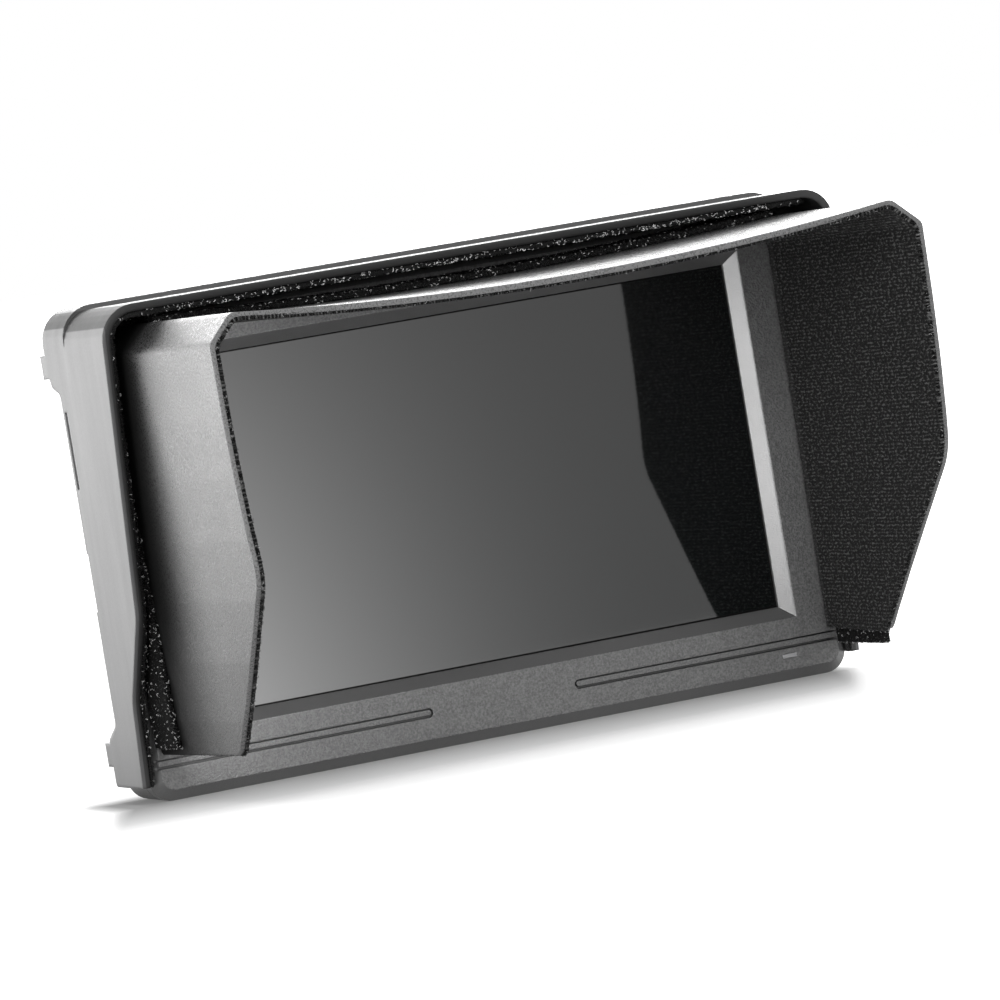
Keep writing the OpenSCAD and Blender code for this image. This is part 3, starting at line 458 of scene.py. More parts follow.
class MONITOR_OT_case(bpy.types.Operator):
    """Gives the monitor's case its leather-grained plastic"""

    bl_idname = "monitor.case"
    bl_label = "Case"

    def execute(self, context):
        look = context.scene.monitor_finish
        paint_node(["front_bezel"], bezel_plastic(look))
        case = moulded("case_plastic", look.case_colour, 0.46, look.grain, look.grain_depth, speckle=0.3,
                       edge=look.edge, mottle=0.1, edge_highlight=0.5, shine=0.9)
        paint_node(["rear_cover"], case)
        plate = moulded("plate_plastic", (0.06, 0.06, 0.062), 0.5, 0.3 * MM, 0.012 * MM)
        paint_node(["battery_plate"], plate)
        latch = moulded("latch_plastic", (0.2, 0.2, 0.205), 0.45, 0.3 * MM, 0.008 * MM)
        paint_node(["battery_latch"], latch)
        light = moulded("light_pipe", (0.27, 0.27, 0.275), 0.4, 0.2 * MM, 0.004 * MM, speckle=0.1)
        paint_node(["indicator_light"], light)
        return {"FINISHED"}


class MONITOR_OT_buttons(bpy.types.Operator):
    """Gives the top buttons their fine satin caps"""

    bl_idname = "monitor.buttons"
    bl_label = "Top buttons"

    def execute(self, context):
        look = context.scene.monitor_finish
        caps = moulded("button_plastic", look.button_colour, 0.42, 0.2 * MM, 0.006 * MM, speckle=0.15, edge=0.2 * MM)
        keys = ["f1", "f2", "menu", "down", "up", "power"]
        paint_node([f"{key}_button" for key in keys], caps)
        return {"FINISHED"}


class MONITOR_OT_screen(bpy.types.Operator):
    """Gives the screen its glass, seal and panel"""

    bl_idname = "monitor.screen"
    bl_label = "Screen"

    def execute(self, context):
        paint_node(["cover_glass"], screen_glass())
        paint_node(["glass_gasket"], moulded("seal_rubber", (0.012, 0.012, 0.012), 0.7, 0.2 * MM, 0.01 * MM))
        paint_node(["lcd_panel"], moulded("panel_black", (0.02, 0.02, 0.021), 0.3, 0.3 * MM, 0.004 * MM))
        white = moulded("white_plastic", (0.7, 0.7, 0.69), 0.5, 0.3 * MM, 0.01 * MM, speckle=0.05)
        paint_node(["backlight_unit"], white)
        return {"FINISHED"}


class MONITOR_OT_inside(bpy.types.Operator):
    """Gives boards, sockets, screws and metal parts their finishes"""

    bl_idname = "monitor.inside"
    bl_label = "Inner parts and metal"

    def execute(self, context):
        steel = metal("steel", (0.5, 0.5, 0.51), 0.35, (0.2, 1, 1))
        brass = metal("brass", (0.72, 0.52, 0.24), 0.3)
        paint_node(["panel_bracket", "video_in_socket", "video_out_socket", "latch_spring"], steel)
        paint_node(["bracket_screws", "board_screws", "plate_screws", "case_screws", "tact_switches"],
                   metal("screw_steel", (0.32, 0.32, 0.33), 0.38))
        paint_node(["board_standoffs", "tripod_insert", "battery_contacts"], brass)
        paint_node(["main_board", "button_board"], board_green("circuit_board"))
        black = moulded("socket_black", (0.02, 0.02, 0.02), 0.45, 0.3 * MM, 0.01 * MM)
        paint_node(["headphone_socket", "power_socket"], black)
        amber = moulded("ribbon_amber", (0.35, 0.14, 0.03), 0.35, 0.4 * MM, 0.005 * MM, speckle=0.1)
        paint_node(["panel_flex"], amber)
        return {"FINISHED"}


class MONITOR_OT_hood_frame(bpy.types.Operator):
    """Gives the hood frame its smooth dark plastic"""

    bl_idname = "monitor.hood_frame"
    bl_label = "Hood frame"

    def execute(self, context):
        paint_node(["hood_frame"], frame_plastic(context.scene.monitor_finish))
        return {"FINISHED"}


class MONITOR_OT_hood(bpy.types.Operator):
    """Gives the sun hood its speckled plastic, with painted shade at its base and painted highlights on its edges"""

    bl_idname = "monitor.hood"
    bl_label = "Sun hood"

    def execute(self, context):
        paint_node(["hood_shell"], hood_plastic(context.scene.monitor_finish))
        return {"FINISHED"}


# ---------- soft goods ----------


def link(name, mesh):
    made = bpy.data.objects.new(name, mesh)
    bpy.context.scene.collection.objects.link(made)
    return made


def plain_mesh(made):
    """Turns an object's modifiers into its mesh and removes them."""
    graph = bpy.context.evaluated_depsgraph_get()
    graph.update()
    mesh = bpy.data.meshes.new_from_object(made.evaluated_get(graph))
    made.modifiers.clear()
    old, made.data = made.data, mesh
    mesh.name = made.name
    if not old.users:
        bpy.data.meshes.remove(old)
    return made


def node_copy(node, name, keep=None, cut=None):
    """A merged copy of a CAD node's mesh, or of the faces that keep accepts, cut level at a height if given."""
    shape = bmesh.new()
    shape.from_mesh(NODES[node].data)
    bmesh.ops.remove_doubles(shape, verts=shape.verts, dist=0.002 * MM)
    if cut:
        everything = shape.verts[:] + shape.edges[:] + shape.faces[:]
        bmesh.ops.bisect_plane(shape, geom=everything, plane_co=(0, 0, cut), plane_no=(0, 0, 1))
    if keep:
        spare = [face for face in shape.faces if not keep(face.calc_center_median(), face.normal)]
        bmesh.ops.delete(shape, geom=spare, context="FACES")
    mesh = bpy.data.meshes.new(name)
    shape.to_mesh(mesh)
    shape.free()
    return link(name, mesh)


def fibre_tree():
    """Geometry nodes that stand small loops on a carrier's faces."""
    tree = bpy.data.node_groups.new("standing_fibres", "GeometryNodeTree")
    tree.interface.new_socket("Geometry", in_out="OUTPUT", socket_type="NodeSocketGeometry")
    tree.interface.new_socket("Carrier", in_out="INPUT", socket_type="NodeSocketGeometry")
    fields = [(label, "Float") for label in ("Density", "Height", "Wire", "Lean", "Sweep")]
    fields += [("Seed", "Int"), ("Material", "Material")]
    for label, kind in fields:
        tree.interface.new_socket(label, in_out="INPUT", socket_type=f"NodeSocket{kind}")

    def node(kind, settings=(), **sockets):
        made = tree.nodes.new(kind)
        for key, value in dict(settings).items():
            setattr(made, key, value)
        for key, value in sockets.items():
            numbered = key[0] == "i" and key[1:].isdigit()
            inlet = made.inputs[int(key[1:]) if numbered else key.replace("_", " ")]
            if isinstance(value, bpy.types.NodeSocket):
                tree.links.new(value, inlet)
            else:
                inlet.default_value = value
        return made

    given = node("NodeGroupInput").outputs
    spots = node("GeometryNodeDistributePointsOnFaces", Mesh=given["Carrier"], Density=given["Density"],
                 Seed=given["Seed"]).outputs
    half = node("ShaderNodeMath", {"operation": "MULTIPLY"}, i0=given["Height"], i1=0.5).outputs[0]
    arc = node("GeometryNodeCurveArc", {"mode": "RADIUS"}, Resolution=4, Radius=half, Start_Angle=-0.6,
               Sweep_Angle=given["Sweep"]).outputs[0]
    ring = node("GeometryNodeCurvePrimitiveCircle", {"mode": "RADIUS"}, Resolution=3, Radius=given["Wire"]).outputs[0]
    loop = node("GeometryNodeCurveToMesh", Curve=arc, Profile_Curve=ring).outputs[0]
    stood = node("GeometryNodeTransform", Geometry=loop, Rotation=(math.pi / 2, 0, 0)).outputs[0]
    lean = node("ShaderNodeMath", {"operation": "MULTIPLY"}, i0=given["Lean"], i1=-1.0).outputs[0]
    low = node("ShaderNodeCombineXYZ", X=lean, Y=lean, Z=-math.pi).outputs[0]
    high = node("ShaderNodeCombineXYZ", X=given["Lean"], Y=given["Lean"], Z=math.pi).outputs[0]
    turn = node("FunctionNodeRandomValue", {"data_type": "FLOAT_VECTOR"}, i0=low, i1=high,
                Seed=given["Seed"]).outputs[0]
    facing = node("FunctionNodeRotateRotation", {"rotation_space": "LOCAL"}, Rotation=spots["Rotation"],
                  Rotate_By=turn).outputs[0]
    size = node("FunctionNodeRandomValue", {"data_type": "FLOAT_VECTOR"}, i0=(0.5, 1, 0.55), i1=(1.5, 1, 1.35),
                Seed=given["Seed"]).outputs[0]
    stand = node("GeometryNodeInstanceOnPoints", Points=spots["Points"], Instance=stood, Rotation=facing,
                 Scale=size).outputs[0]
    tone = node("FunctionNodeRandomValue", {"data_type": "FLOAT"}, Seed=given["Seed"]).outputs[1]
    toned = node("GeometryNodeStoreNamedAttribute", {"data_type": "FLOAT", "domain": "INSTANCE"}, Geometry=stand,
                 Name="tone", Value=tone).outputs[0]
    real = node("GeometryNodeRealizeInstances", Geometry=toned).outputs[0]
    done = node("GeometryNodeSetMaterial", Geometry=real, Material=given["Material"]).outputs[0]
    node("NodeGroupOutput", Geometry=done)
    return tree


def grow(carrier, tree, material, **sizes):
    """Stands fibres on a carrier, which becomes the fibres' own plain mesh."""
    modifier = carrier.modifiers.new("fibres", "NODES")
    modifier.node_group = tree
    inlets = {item.name: item.identifier for item in tree.interface.items_tree if item.in_out == "INPUT"}
    for label, value in {**sizes, "Material": material}.items():
        modifier[inlets[label]] = value
    return plain_mesh(carrier)


def join(name, parts):
    """Several objects as one piece."""
    shape = bmesh.new()
    for part in parts:
        shape.from_mesh(part.data)
    mesh = bpy.data.meshes.new(name)
    for material in parts[0].data.materials:
        mesh.materials.append(material)
    shape.to_mesh(mesh)
    shape.free()
    for part in parts:
        bpy.data.objects.remove(part)
    return link(name, mesh)


def tape(node, name, material, voxel, ripple):
    """A hook-and-loop tape: the CAD strip remeshed, with an uneven woven surface."""
    made = node_copy(node, name)
    remesh = made.modifiers.new("cells", "REMESH")
    remesh.mode, remesh.voxel_size, remesh.use_smooth_shade = "VOXEL", voxel, True
    plain_mesh(made)
    raised = [v.co + v.normal * noise.noise(v.co / (0.9 * MM)) * ripple for v in made.data.vertices]
    made.data.vertices.foreach_set("co", [length for place in raised for length in place])
    made.data.update()
    made.data.materials.clear()
    made.data.materials.append(material)
    return made


def dress(made, body, slot, *nodes):
    """Lets a finished piece ride on its body, and stand for CAD nodes."""
    for polygon in made.data.polygons:
        polygon.use_smooth = True
    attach(made, body)
    if nodes:
        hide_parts(*nodes)
    return made


class StripSizes(bpy.types.PropertyGroup):
    """Sizes of the hook-and-loop strips' fibres."""

    loop_height: length_field("Loop height", "Height of a loop on the frame's strips", 0.42 * MM)
    hook_height: length_field("Hook height", "Height of a hook on the hood's strips", 0.38 * MM)
    wire: length_field("Fibre", "Radius of a fibre", 0.055 * MM)
    edge_count: count_field("Edge fibres", "Fibres per square metre on the strips' edges", 8e6)
    loop_count: count_field("Loops", "Loops per square metre inside the frame", 0.7e6)
    hook_count: count_field("Hooks", "Hooks per square metre on the hood", 1.5e6)
    seed: IntProperty(name="Seed", description="Seed of the fibres' places", default=7)


class MONITOR_OT_loop_strips(bpy.types.Operator):
    """Makes the fuzzy loop strips inside the hood frame"""

    bl_idname = "monitor.loop_strips"
    bl_label = "Loop strips"

    def execute(self, context):
        sizes = context.scene.monitor_strips
        fibre = nylon_fibre("loop_nylon", 0.008, 0.8, 0.06, 4.0)
        tree = fibre_tree()

        def edge(spot, normal):
            return normal.y < -0.6

        def inside(spot, normal):
            to_middle = (HOOD_MIDDLE - spot) * Vector((1, 0, 1))
            return abs(normal.y) < 0.4 and normal.dot(to_middle.normalized()) > 0.2

        parts = []
        for label, keep, count in (("edge", edge, sizes.edge_count), ("inside", inside, sizes.loop_count)):
            carrier = node_copy("frame_loop_strips", f"loops_{label}", keep)
            parts.append(grow(carrier, tree, fibre, Density=count, Height=sizes.loop_height, Wire=sizes.wire,
                              Lean=0.9, Sweep=4.3, Seed=sizes.seed + len(parts)))
        dress(join("loop_fibres", parts), "frame", "hook_and_loop")
        weave = black_cloth("loop_weave", 0.012, 0.3 * MM)
        base = tape("frame_loop_strips", "loop_tape", weave, 0.45 * MM, 0.12 * MM)
        dress(base, "frame", "hook_and_loop", "frame_loop_strips")
        return {"FINISHED"}


class MONITOR_OT_hook_strips(bpy.types.Operator):
    """Makes the hook strips on the sun hood's base"""

    bl_idname = "monitor.hook_strips"
    bl_label = "Hook strips"

    def execute(self, context):
        sizes = context.scene.monitor_strips
        fibre = nylon_fibre("hook_nylon", 0.006, 0.6, 0.2, 0.3)
        tree = fibre_tree()
        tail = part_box("hood_shell")[0].z

        def edge(spot, normal):
            return normal.y < -0.6 or (normal.z < -0.6 and spot.z < 20 * MM)

        def outside(spot, normal):
            away = (spot - HOOD_MIDDLE) * Vector((1, 0, 1))
            faces_out = normal.dot(away.normalized()) > 0.2 or spot.z < tail
            return abs(normal.y) < 0.4 and faces_out and not edge(spot, normal)

        parts = []
        for label, keep, count in (("edge", edge, sizes.edge_count), ("outside", outside, sizes.hook_count)):
            carrier = node_copy("hood_hook_strips", f"hooks_{label}", keep, tail)
            parts.append(grow(carrier, tree, fibre, Density=count, Height=sizes.hook_height, Wire=sizes.wire,
                              Lean=0.8, Sweep=3.6, Seed=sizes.seed + 10 + len(parts)))
        dress(join("hook_fibres", parts), "hood", "hook_and_loop")
        weave = black_cloth("hook_weave", 0.005, 0.3 * MM, 0.08)
        base = tape("hood_hook_strips", "hook_tape", weave, 0.45 * MM, 0.08 * MM)
        dress(base, "hood", "hook_and_loop", "hood_hook_strips")
        return {"FINISHED"}


class LiningSizes(bpy.types.PropertyGroup):
    """Sizes of the velvet inside the sun hood, which follows the hood's panels."""

    inset: length_field("Inset", "From the hood's outside to the velvet's face", 1.6 * MM)
    thickness: length_field("Thickness", "Thickness of the velvet's turned edge", 0.72 * MM)
    glued: FloatProperty(name="Glued share", description="Share of that thickness away from the edge", default=0.66)
    edge_inset: length_field("Edge inset", "How far the velvet ends behind the hood's edge", -0.1 * MM)
    row: length_field("Row", "Pitch of the knitted rows", 0.56 * MM)
    rib: length_field("Rib", "Height of the knitted rows", 0.11 * MM)
    chamfer: length_field("Chamfer", "Chamfer of the hood's top corners", 5 * MM)
    crease: length_field("Crease", "Radius of the hood's creases", 2 * MM)
    sag_base: length_field("Sag at the base", "Sag of the hood's top at its base", 2 * MM)
    sag_front: length_field("Sag at the front", "Sag of the hood's top at its front", 3.6 * MM)
    lean_base: length_field("Lean at the base", "Inward lean of the bottom edge at the base", 0.5 * MM)
    lean_front: length_field("Lean at the front", "Further lean at the bottom front corner", 3.5 * MM)
    low_reach: length_field("Low reach", "Reach of the bottom front corner before the face", 38 * MM)
    knee: length_field("Knee", "Height of the knee in the front edge", 42.75 * MM)
    setback: length_field("Setback", "How much further back the top edge lies", 1.1 * MM)
    columns: IntProperty(name="Columns", description="Steps from the base to the front edge", default=26)
    fringe_count: count_field("Fringe fibres", "Cut fibres per square metre on the velvet's free edges", 9e6)
    fringe_height: length_field("Fringe height", "Height of a cut fibre", 0.42 * MM)
    fringe_wire: length_field("Fringe fibre", "Radius of a cut fibre", 0.045 * MM)


def arc_between(a, b, c, radius, steps):
    """Points of the round that replaces corner b between a and c, in a plane."""
    u, v = (a - b).normalized(), (c - b).normalized()
    half = math.acos(max(-1, min(1, u.dot(v)))) / 2
    centre = b + (u + v).normalized() * (radius / math.sin(half))
    start, end = b + u * (radius / math.tan(half)) - centre, b + v * (radius / math.tan(half)) - centre
    first = math.atan2(start.y, start.x)
    turn = (math.atan2(end.y, end.x) - first + 3 * math.pi) % (2 * math.pi) - math.pi
    angles = [first + turn * i / steps for i in range(steps + 1)]
    return [centre + radius * Vector((math.cos(angle), math.sin(angle))) for angle in angles]


def spaced(path, step):
    """Points at an even step along a path."""
    lengths = [0.0]
    for a, b in zip(path, path[1:]):
        lengths.append(lengths[-1] + (b - a).length)
    count = max(1, round(lengths[-1] / step))
    points, leg = [], 0
    for i in range(count + 1):
        at = lengths[-1] * i / count
        while leg < len(path) - 2 and lengths[leg + 1] < at:
            leg += 1
        share = (at - lengths[leg]) / max(lengths[leg + 1] - lengths[leg], 1e-12)
        points.append(path[leg].lerp(path[leg + 1], share))
    return points


def between(value, xs, ys):
    for x0, x1, y0, y1 in zip(xs, xs[1:], ys, ys[1:]):
        if value <= x1:
            return y0 + (y1 - y0) * max(0.0, (value - x0) / max(x1 - x0, 1e-12))
    return ys[-1]


class HoodSurface:
    """The sun hood's panels at an inset from the outside, from its sizes."""

    def __init__(self, lining, inset, edge_inset):
        low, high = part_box("hood_shell")
        self.lining = lining
        self.half_w, self.top, self.bottom = high.x, high.z, low.z
        self.base_y, self.front_y = high.y - 0.35 * MM, low.y + edge_inset
        self.face_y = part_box("front_bezel")[0].y
        self.crease_z = self.top - lining.chamfer
        share = math.tan(math.pi / 8) * inset
        crease = Vector((self.half_w - inset, self.crease_z - share))
        shoulder = Vector((self.half_w - lining.chamfer - share, self.top - inset))
        foot = Vector((crease.x, self.bottom + edge_inset))
        turn = arc_between(crease, shoulder, Vector((0, shoulder.y)), lining.crease, 8)
        self.roof_x = turn[-1].x
        path = [foot, *arc_between(foot, crease, shoulder, lining.crease, 8), *turn, Vector((0, shoulder.y))]
        half = spaced(path, lining.row / 2)
        self.section = half + [Vector((-p.x, p.y)) for p in reversed(half[:-1])]
        self.edge(edge_inset)

    def edge(self, edge_inset):
        corner = Vector((self.face_y - self.lining.low_reach + edge_inset, self.bottom + edge_inset))
        knee = Vector((self.front_y + 0.4 * MM, self.lining.knee))
        brow = Vector((self.front_y, self.crease_z))
        peak = Vector((self.front_y + self.lining.setback, self.top))
        back = Vector((self.base_y, corner.y))
        line = [*arc_between(back, corner, knee, 4.5 * MM, 8), *arc_between(corner, knee, brow, 9 * MM, 8),
                *arc_between(knee, brow, peak, 4 * MM, 4), peak]
        self.edge_z, self.edge_y = [p.y for p in line], [p.x for p in line]

    def front(self, z):
        return between(z, self.edge_z, self.edge_y)

    def at(self, point, y):
        """A section point at a depth y, with the panels' lean and the roof's sag."""
        lining, reach = self.lining, self.face_y - y
        share = max(0.0, (self.crease_z - point.y) / (self.crease_z - self.bottom))
        lean = lining.lean_base * share + lining.lean_front * share**2.6 * reach / lining.low_reach
        depth = self.face_y - self.front_y
        sag = lining.sag_base + (lining.sag_front - lining.sag_base) * reach / depth
        fall = sag * max(0.0, 1 - (point.x / self.roof_x) ** 2)
        return Vector((point.x - math.copysign(lean, point.x), y, point.y - fall))


def velvet(name, row):
    """Black knitted velvet: glinting stitches in rows that run with the hood's depth."""
    p = Paint(name)
    arc = p.attribute("arc")
    woven = p.wire("ShaderNodeCombineXYZ", sockets={0: arc, 1: p.axis(1) * 0.42, 2: 0.0})
    pile = p.noise(0.5 * MM, 2, 0.65, woven)
    waver = p.noise(1.6 * MM, 1, 0.5, woven)
    rows = (arc * (2 * math.pi / (row * 1.25)) + waver * 4).sine()
    broad = p.noise(9 * MM, 2)
    glint = ((pile - 0.5) * 5.4 + rows * 0.3 + 0.2).clamp()
    return p.surface(
        Base_Color=p.tint((0.14, 0.14, 0.139), 0.008 + glint * glint * (0.5 + broad * 0.3)),
        Roughness=0.95,
        Specular_IOR_Level=0.1,
        Sheen_Weight=0.05,
        Sheen_Roughness=0.5,
        Normal=p.bump(pile + rows * 0.15, 0.25 * MM),
    )


class MONITOR_OT_lining(bpy.types.Operator):
    """Makes the knitted velvet inside the sun hood"""

    bl_idname = "monitor.lining"
    bl_label = "Velvet lining"

    def execute(self, context):
        lining = context.scene.monitor_lining
        hood = HoodSurface(lining, lining.inset, lining.edge_inset)
        verts, arcs, flat_area, columns = [], [], 0.0, lining.columns
        for i, point in enumerate(hood.section):
            front = hood.front(min(point.y, hood.edge_z[-1]))
            along = (hood.section[min(i + 1, len(hood.section) - 1)] - hood.section[max(i - 1, 0)]).normalized()
            inward = Vector((-along.y, 0, along.x))
            flat_area += (hood.base_y - front) * lining.row / 2
            for j in range(columns + 1):
                share = min(j / (columns - 1), 0.995) if j < columns else 1.0
                spot = hood.at(point, hood.base_y + (front - hood.base_y) * share)
                rib = (i % 2 - 0.5) * lining.rib + noise.noise(spot / (0.8 * MM)) * 0.04 * MM
                verts.append(spot + inward * rib)
                arcs.append(i * lining.row / 2)
        wide = columns + 1
        faces = [(i * wide + j, i * wide + j + 1, (i + 1) * wide + j + 1, (i + 1) * wide + j)
                 for i in range(len(hood.section) - 1) for j in range(columns)]
        mesh = bpy.data.meshes.new("velvet_lining")
        mesh.from_pydata(verts, [], faces)
        mesh.attributes.new("arc", "FLOAT", "POINT").data.foreach_set("value", arcs)
        made = link("velvet_lining", mesh)
        turned = made.vertex_groups.new(name="turned_edge")
        turned.add([k for k in range(len(verts)) if k % wide >= columns - 1], 1.0, "REPLACE")
        thick = made.modifiers.new("thickness", "SOLIDIFY")
        thick.thickness, thick.offset = lining.thickness, -1
        thick.vertex_group, thick.thickness_vertex_group = "turned_edge", lining.glued
        plain_mesh(made)
        made.data.materials.append(velvet("velvet", lining.row))
        dress(made, "hood", "velvet", "hood_lining")
        fringe = self.fringe(made, hood, context.scene.monitor_strips.seed + 30)
        return {"FINISHED"}

    def fringe(self, made, hood, seed):
        """Cut fibres that stand on the velvet's free edges."""
        lining, base_edge = hood.lining, hood.base_y - 1 * MM
        shape = bmesh.new()
        shape.from_mesh(made.data)

        def on_rim(face):
            spot, normal = face.calc_center_median(), face.normal
            foot = normal.z < -0.6 and spot.z < HOOD_MIDDLE.z
            return spot.y < base_edge and (normal.y < -0.6 or foot)

        spare = [face for face in shape.faces if not on_rim(face)]
        bmesh.ops.delete(shape, geom=spare, context="FACES")
        mesh = bpy.data.meshes.new("velvet_fringe")
        shape.to_mesh(mesh)
        shape.free()
        fibre = nylon_fibre("cut_pile", 0.004, 0.28, 0.1)
        grown = grow(link("velvet_fringe", mesh), fibre_tree(), fibre, Density=lining.fringe_count,
                     Height=lining.fringe_height, Wire=lining.fringe_wire, Lean=0.7, Sweep=2.6, Seed=seed)
        return dress(grown, "hood", "velvet")


# ---------- stage ----------


LIGHTS = [  # name, place, size, power, seen in reflections, lights the surfaces
    ("back_softbox", (-1.0, 1.6, 0.12), (2.2, 0.7), 11, True, False),
    ("high_softbox", (-0.1, 1.6, 0.68), (1.6, 0.5), 5, True, False),
    ("rear_softbox", (0.75, 1.9, 0.3), (1.4, 0.7), 18, True, False),
    ("top_softbox", (0.0, 0.1, 1.4), (1.2, 1.0), 7, True, True),
    ("key_softbox", (-1.15, -0.95, 0.3), (0.5, 0.66), 8, True, True),
    ("front_softbox", (0.2, -1.5, 0.5), (1.2, 0.8), 22, False, True),
]


def light_panel(name, place, target, size, power, glossy, diffuse):
    data = bpy.data.lights.new(name, "AREA")
    data.shape, data.size, data.size_y, data.energy = "RECTANGLE", size[0], size[1], power
    lamp = bpy.data.objects.new(name, data)
    bpy.context.scene.collection.objects.link(lamp)
    lamp.location = place
    lamp.rotation_euler = (Vector(target) - Vector(place)).to_track_quat("-Z", "Y").to_euler()
    lamp.visible_glossy, lamp.visible_diffuse = glossy, diffuse
    lamp.visible_camera = False
    return lamp


class MONITOR_OT_stage(bpy.types.Operator):
    """Makes the camera, the lights, the floor and the white surround"""

    bl_idname = "monitor.stage"
    bl_label = "Stage"

    def camera(self, scene, studio):
        az, el, roll = studio.azimuth, studio.elevation, studio.roll
        ahead = Vector((math.sin(az) * math.cos(el), math.cos(az) * math.cos(el), -math.sin(el)))
        level = Vector((math.cos(az), -math.sin(az), 0))
        above = level.cross(ahead)
        right = math.cos(roll) * level + math.sin(roll) * above
        up = math.cos(roll) * above - math.sin(roll) * level
        face = (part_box("cover_glass")[0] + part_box("cover_glass")[1]) / 2
        face.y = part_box("front_bezel")[0].y
        place = face - studio.shift_x * right - studio.shift_y * up - studio.distance * ahead
        data = bpy.data.cameras.new("camera")
        data.lens, data.sensor_width, data.clip_start, data.clip_end = studio.lens, 36, 0.05, 100
        camera = bpy.data.objects.new("camera", data)
        scene.collection.objects.link(camera)
        turn = Matrix((right, up, -ahead)).transposed().to_4x4()
        camera.matrix_world = Matrix.Translation(place) @ turn
        scene.camera = camera

    def rays(self, p):
        """Shares of camera rays, of glossy rays, and of both with the transmitted ones."""
        ray = p.node("ShaderNodeLightPath")
        seen = [Wire(p, ray.outputs[name]) for name in ("Is Camera Ray", "Is Glossy Ray", "Is Transmission Ray")]
        return seen[0], seen[1], (seen[0] + seen[1] + seen[2]).clamp()

    def surround(self, scene):
        scene.world = bpy.data.worlds.new("studio_white")
        p = Paint("studio_white", scene.world)
        white = self.rays(p)[2]
        dim = p.wire("ShaderNodeBackground", sockets={"Color": grey(1.0), "Strength": 0.38})
        bright = p.wire("ShaderNodeBackground", sockets={"Color": grey(1.0), "Strength": 1.0})
        p.node("ShaderNodeOutputWorld", sockets={"Surface": p.blend(white, dim, bright)})

    def floor(self, scene, studio):
        """A white floor that is lighter to the eye than to the light, with a painted soft shadow round the monitor.
        """
        half = studio.floor_size / 2
        mesh = bpy.data.meshes.new("floor")
        mesh.from_pydata([(-half, -half, 0), (half, -half, 0), (half, half, 0), (-half, half, 0)], [], [(0, 1, 2, 3)])
        floor = bpy.data.objects.new("floor", mesh)
        floor.location.z = -0.05 * MM
        scene.collection.objects.link(floor)
        p = Paint("pale_floor")
        eye, glossy, fill = self.rays(p)
        reach = p.wire("ShaderNodeVectorMath", {"operation": "LENGTH"}, {0: p.place()}, "Value")
        far = reach.above(0.9, 0.6)
        behind, left = p.axis(1).above(0.15, 0.1), 1 - p.axis(0).above(-0.25, 0.15)
        # How far a spot is from the monitor's footprint, which is drawn out towards the camera. The
        # shadow ends sooner behind and at the sides.
        front, back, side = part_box("front_bezel")[0].y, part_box("rear_cover")[1].y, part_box("front_bezel")[1].x
        sooner_behind, sooner_beside, footprint_shift = 5, 11, 4 * MM
        before = (front - p.axis(1)).clamp()
        past = before + ((p.axis(1) - back) * sooner_behind).clamp()
        swung = p.axis(0) + before * math.tan(studio.azimuth) + footprint_shift
        beside = ((abs(swung) - side) * sooner_beside).clamp()
        away = (past * past + beside * beside) ** 0.5
        darkest, shadow_reach, clear_from, clear_reach = 0.42, 50 * MM, 30 * MM, 70 * MM
        contact = darkest + (1 - darkest) * (away / shadow_reach).clamp()
        clear = ((away - clear_from) / clear_reach).clamp() * (0.42 + 0.5 * (beside * 6).clamp())
        matt = p.wire("ShaderNodeBsdfDiffuse", sockets={"Color": p.tint((0.85, 0.85, 0.85), contact)})
        glow = 0.3 * contact + 0.8 * far
        strength = glow * fill + clear * eye + (behind * 0.8 + left * 0.2) * glossy
        lift = p.wire("ShaderNodeEmission", sockets={"Color": grey(1.0), "Strength": strength})
        mesh.materials.append(p.shown(p.wire("ShaderNodeAddShader", sockets={0: matt, 1: lift})))

    def reflector(self, scene):
        """A graded card that only reflections show, for the screen, brighter at its lower left."""
        left, right, top, y = -20 * MM, 165 * MM, 100 * MM, -200 * MM
        graded_w, graded_h = 139 * MM, 79 * MM
        mesh = bpy.data.meshes.new("reflector")
        mesh.from_pydata([(left, y, 0), (right, y, 0), (right, y, top), (left, y, top)], [], [(0, 1, 2, 3)])
        card = bpy.data.objects.new("reflector", mesh)
        scene.collection.objects.link(card)
        card.visible_camera = card.visible_diffuse = card.visible_shadow = False
        p = Paint("graded_card")
        across, up = (p.axis(0) / graded_w).clamp(), (p.axis(2) / graded_h).clamp()
        glow = 0.41 + 2.35 * (1 - across) ** 2.9 * (1 - 0.66 * up)
        mesh.materials.append(p.shown(p.wire("ShaderNodeEmission", sockets={"Color": grey(1.0), "Strength": glow})))

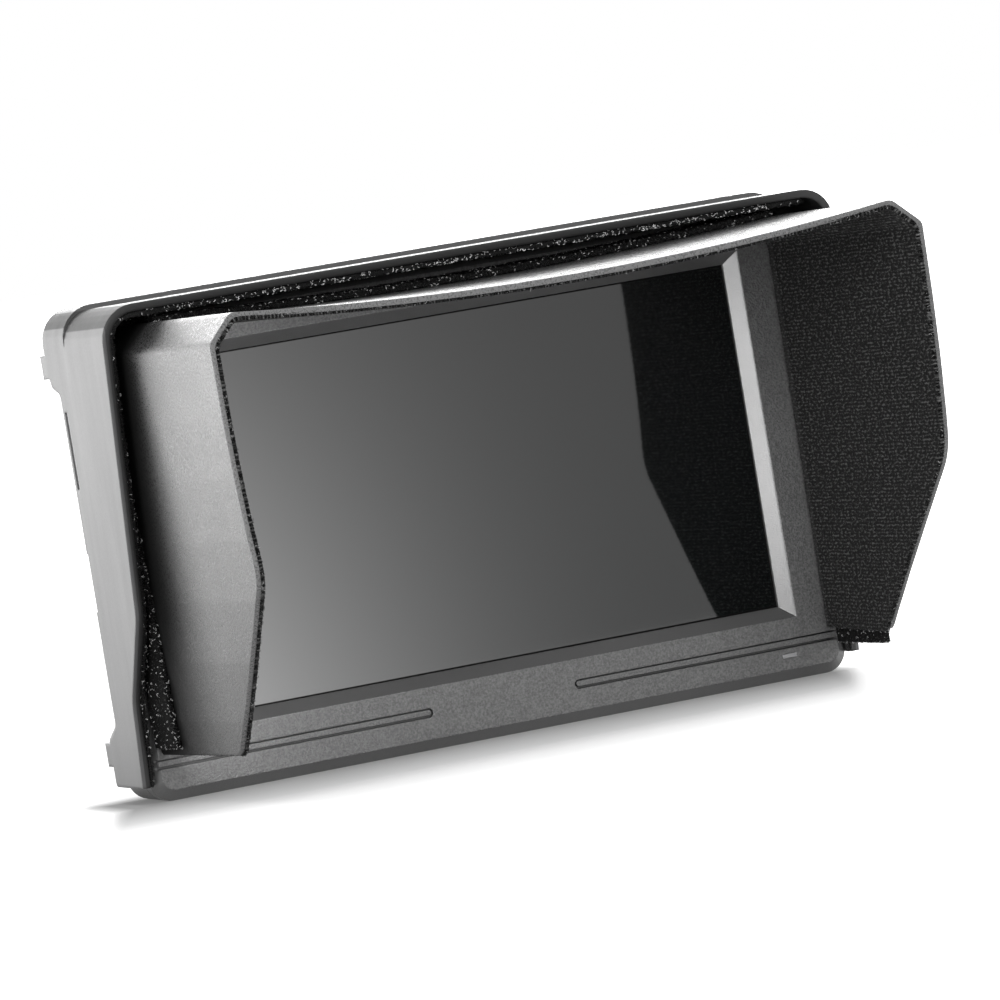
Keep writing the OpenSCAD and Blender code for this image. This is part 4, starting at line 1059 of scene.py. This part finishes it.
    def execute(self, context):
        scene = context.scene
        scene.view_settings.view_transform = "Standard"
        self.camera(scene, scene.monitor_studio)
        self.surround(scene)
        self.floor(scene, scene.monitor_studio)
        self.reflector(scene)
        middle = (0, -0.03, 0.05)
        for name, place, size, power, glossy, diffuse in LIGHTS:
            light_panel(name, place, middle, size, power, glossy, diffuse)
        right_bevel = (0.06, -0.01, 0.048)
        card = light_panel("bevel_card", (-0.06, -0.04, 0.048), right_bevel, (0.05, 0.08), 0.14, True, False)
        card.visible_shadow = False
        return {"FINISHED"}


class MONITOR_PT_parts(bpy.types.Panel):
    """Lists the monitor's pieces in the sidebar"""

    bl_label = "Field monitor"
    bl_idname = "MONITOR_PT_parts"
    bl_space_type = "VIEW_3D"
    bl_region_type = "UI"
    bl_category = "Monitor"

    def draw(self, context):
        for operator in OPERATORS:
            self.layout.operator(operator.bl_idname)
        for group in GROUPS:
            settings = getattr(context.scene, GROUPS[group])
            for key in group.__annotations__:
                self.layout.prop(settings, key)


OPERATORS = [
    MONITOR_OT_stage,
    MONITOR_OT_case,
    MONITOR_OT_buttons,
    MONITOR_OT_screen,
    MONITOR_OT_inside,
    MONITOR_OT_hood_frame,
    MONITOR_OT_hood,
    MONITOR_OT_loop_strips,
    MONITOR_OT_hook_strips,
    MONITOR_OT_lining,
]
GROUPS = {
    MonitorFinish: "monitor_finish",
    StripSizes: "monitor_strips",
    LiningSizes: "monitor_lining",
    StudioSettings: "monitor_studio",
}


def register():
    for group, name in GROUPS.items():
        bpy.utils.register_class(group)
        setattr(bpy.types.Scene, name, PointerProperty(type=group))
    for kind in [*OPERATORS, MONITOR_PT_parts]:
        bpy.utils.register_class(kind)


def unregister():
    for kind in reversed([*OPERATORS, MONITOR_PT_parts]):
        bpy.utils.unregister_class(kind)
    for group, name in reversed(GROUPS.items()):
        delattr(bpy.types.Scene, name)
        bpy.utils.unregister_class(group)


def main():
    register()
    for operator in OPERATORS:
        category, name = operator.bl_idname.split(".")
        getattr(getattr(bpy.ops, category), name)()


if __name__ == "__main__":
    main()
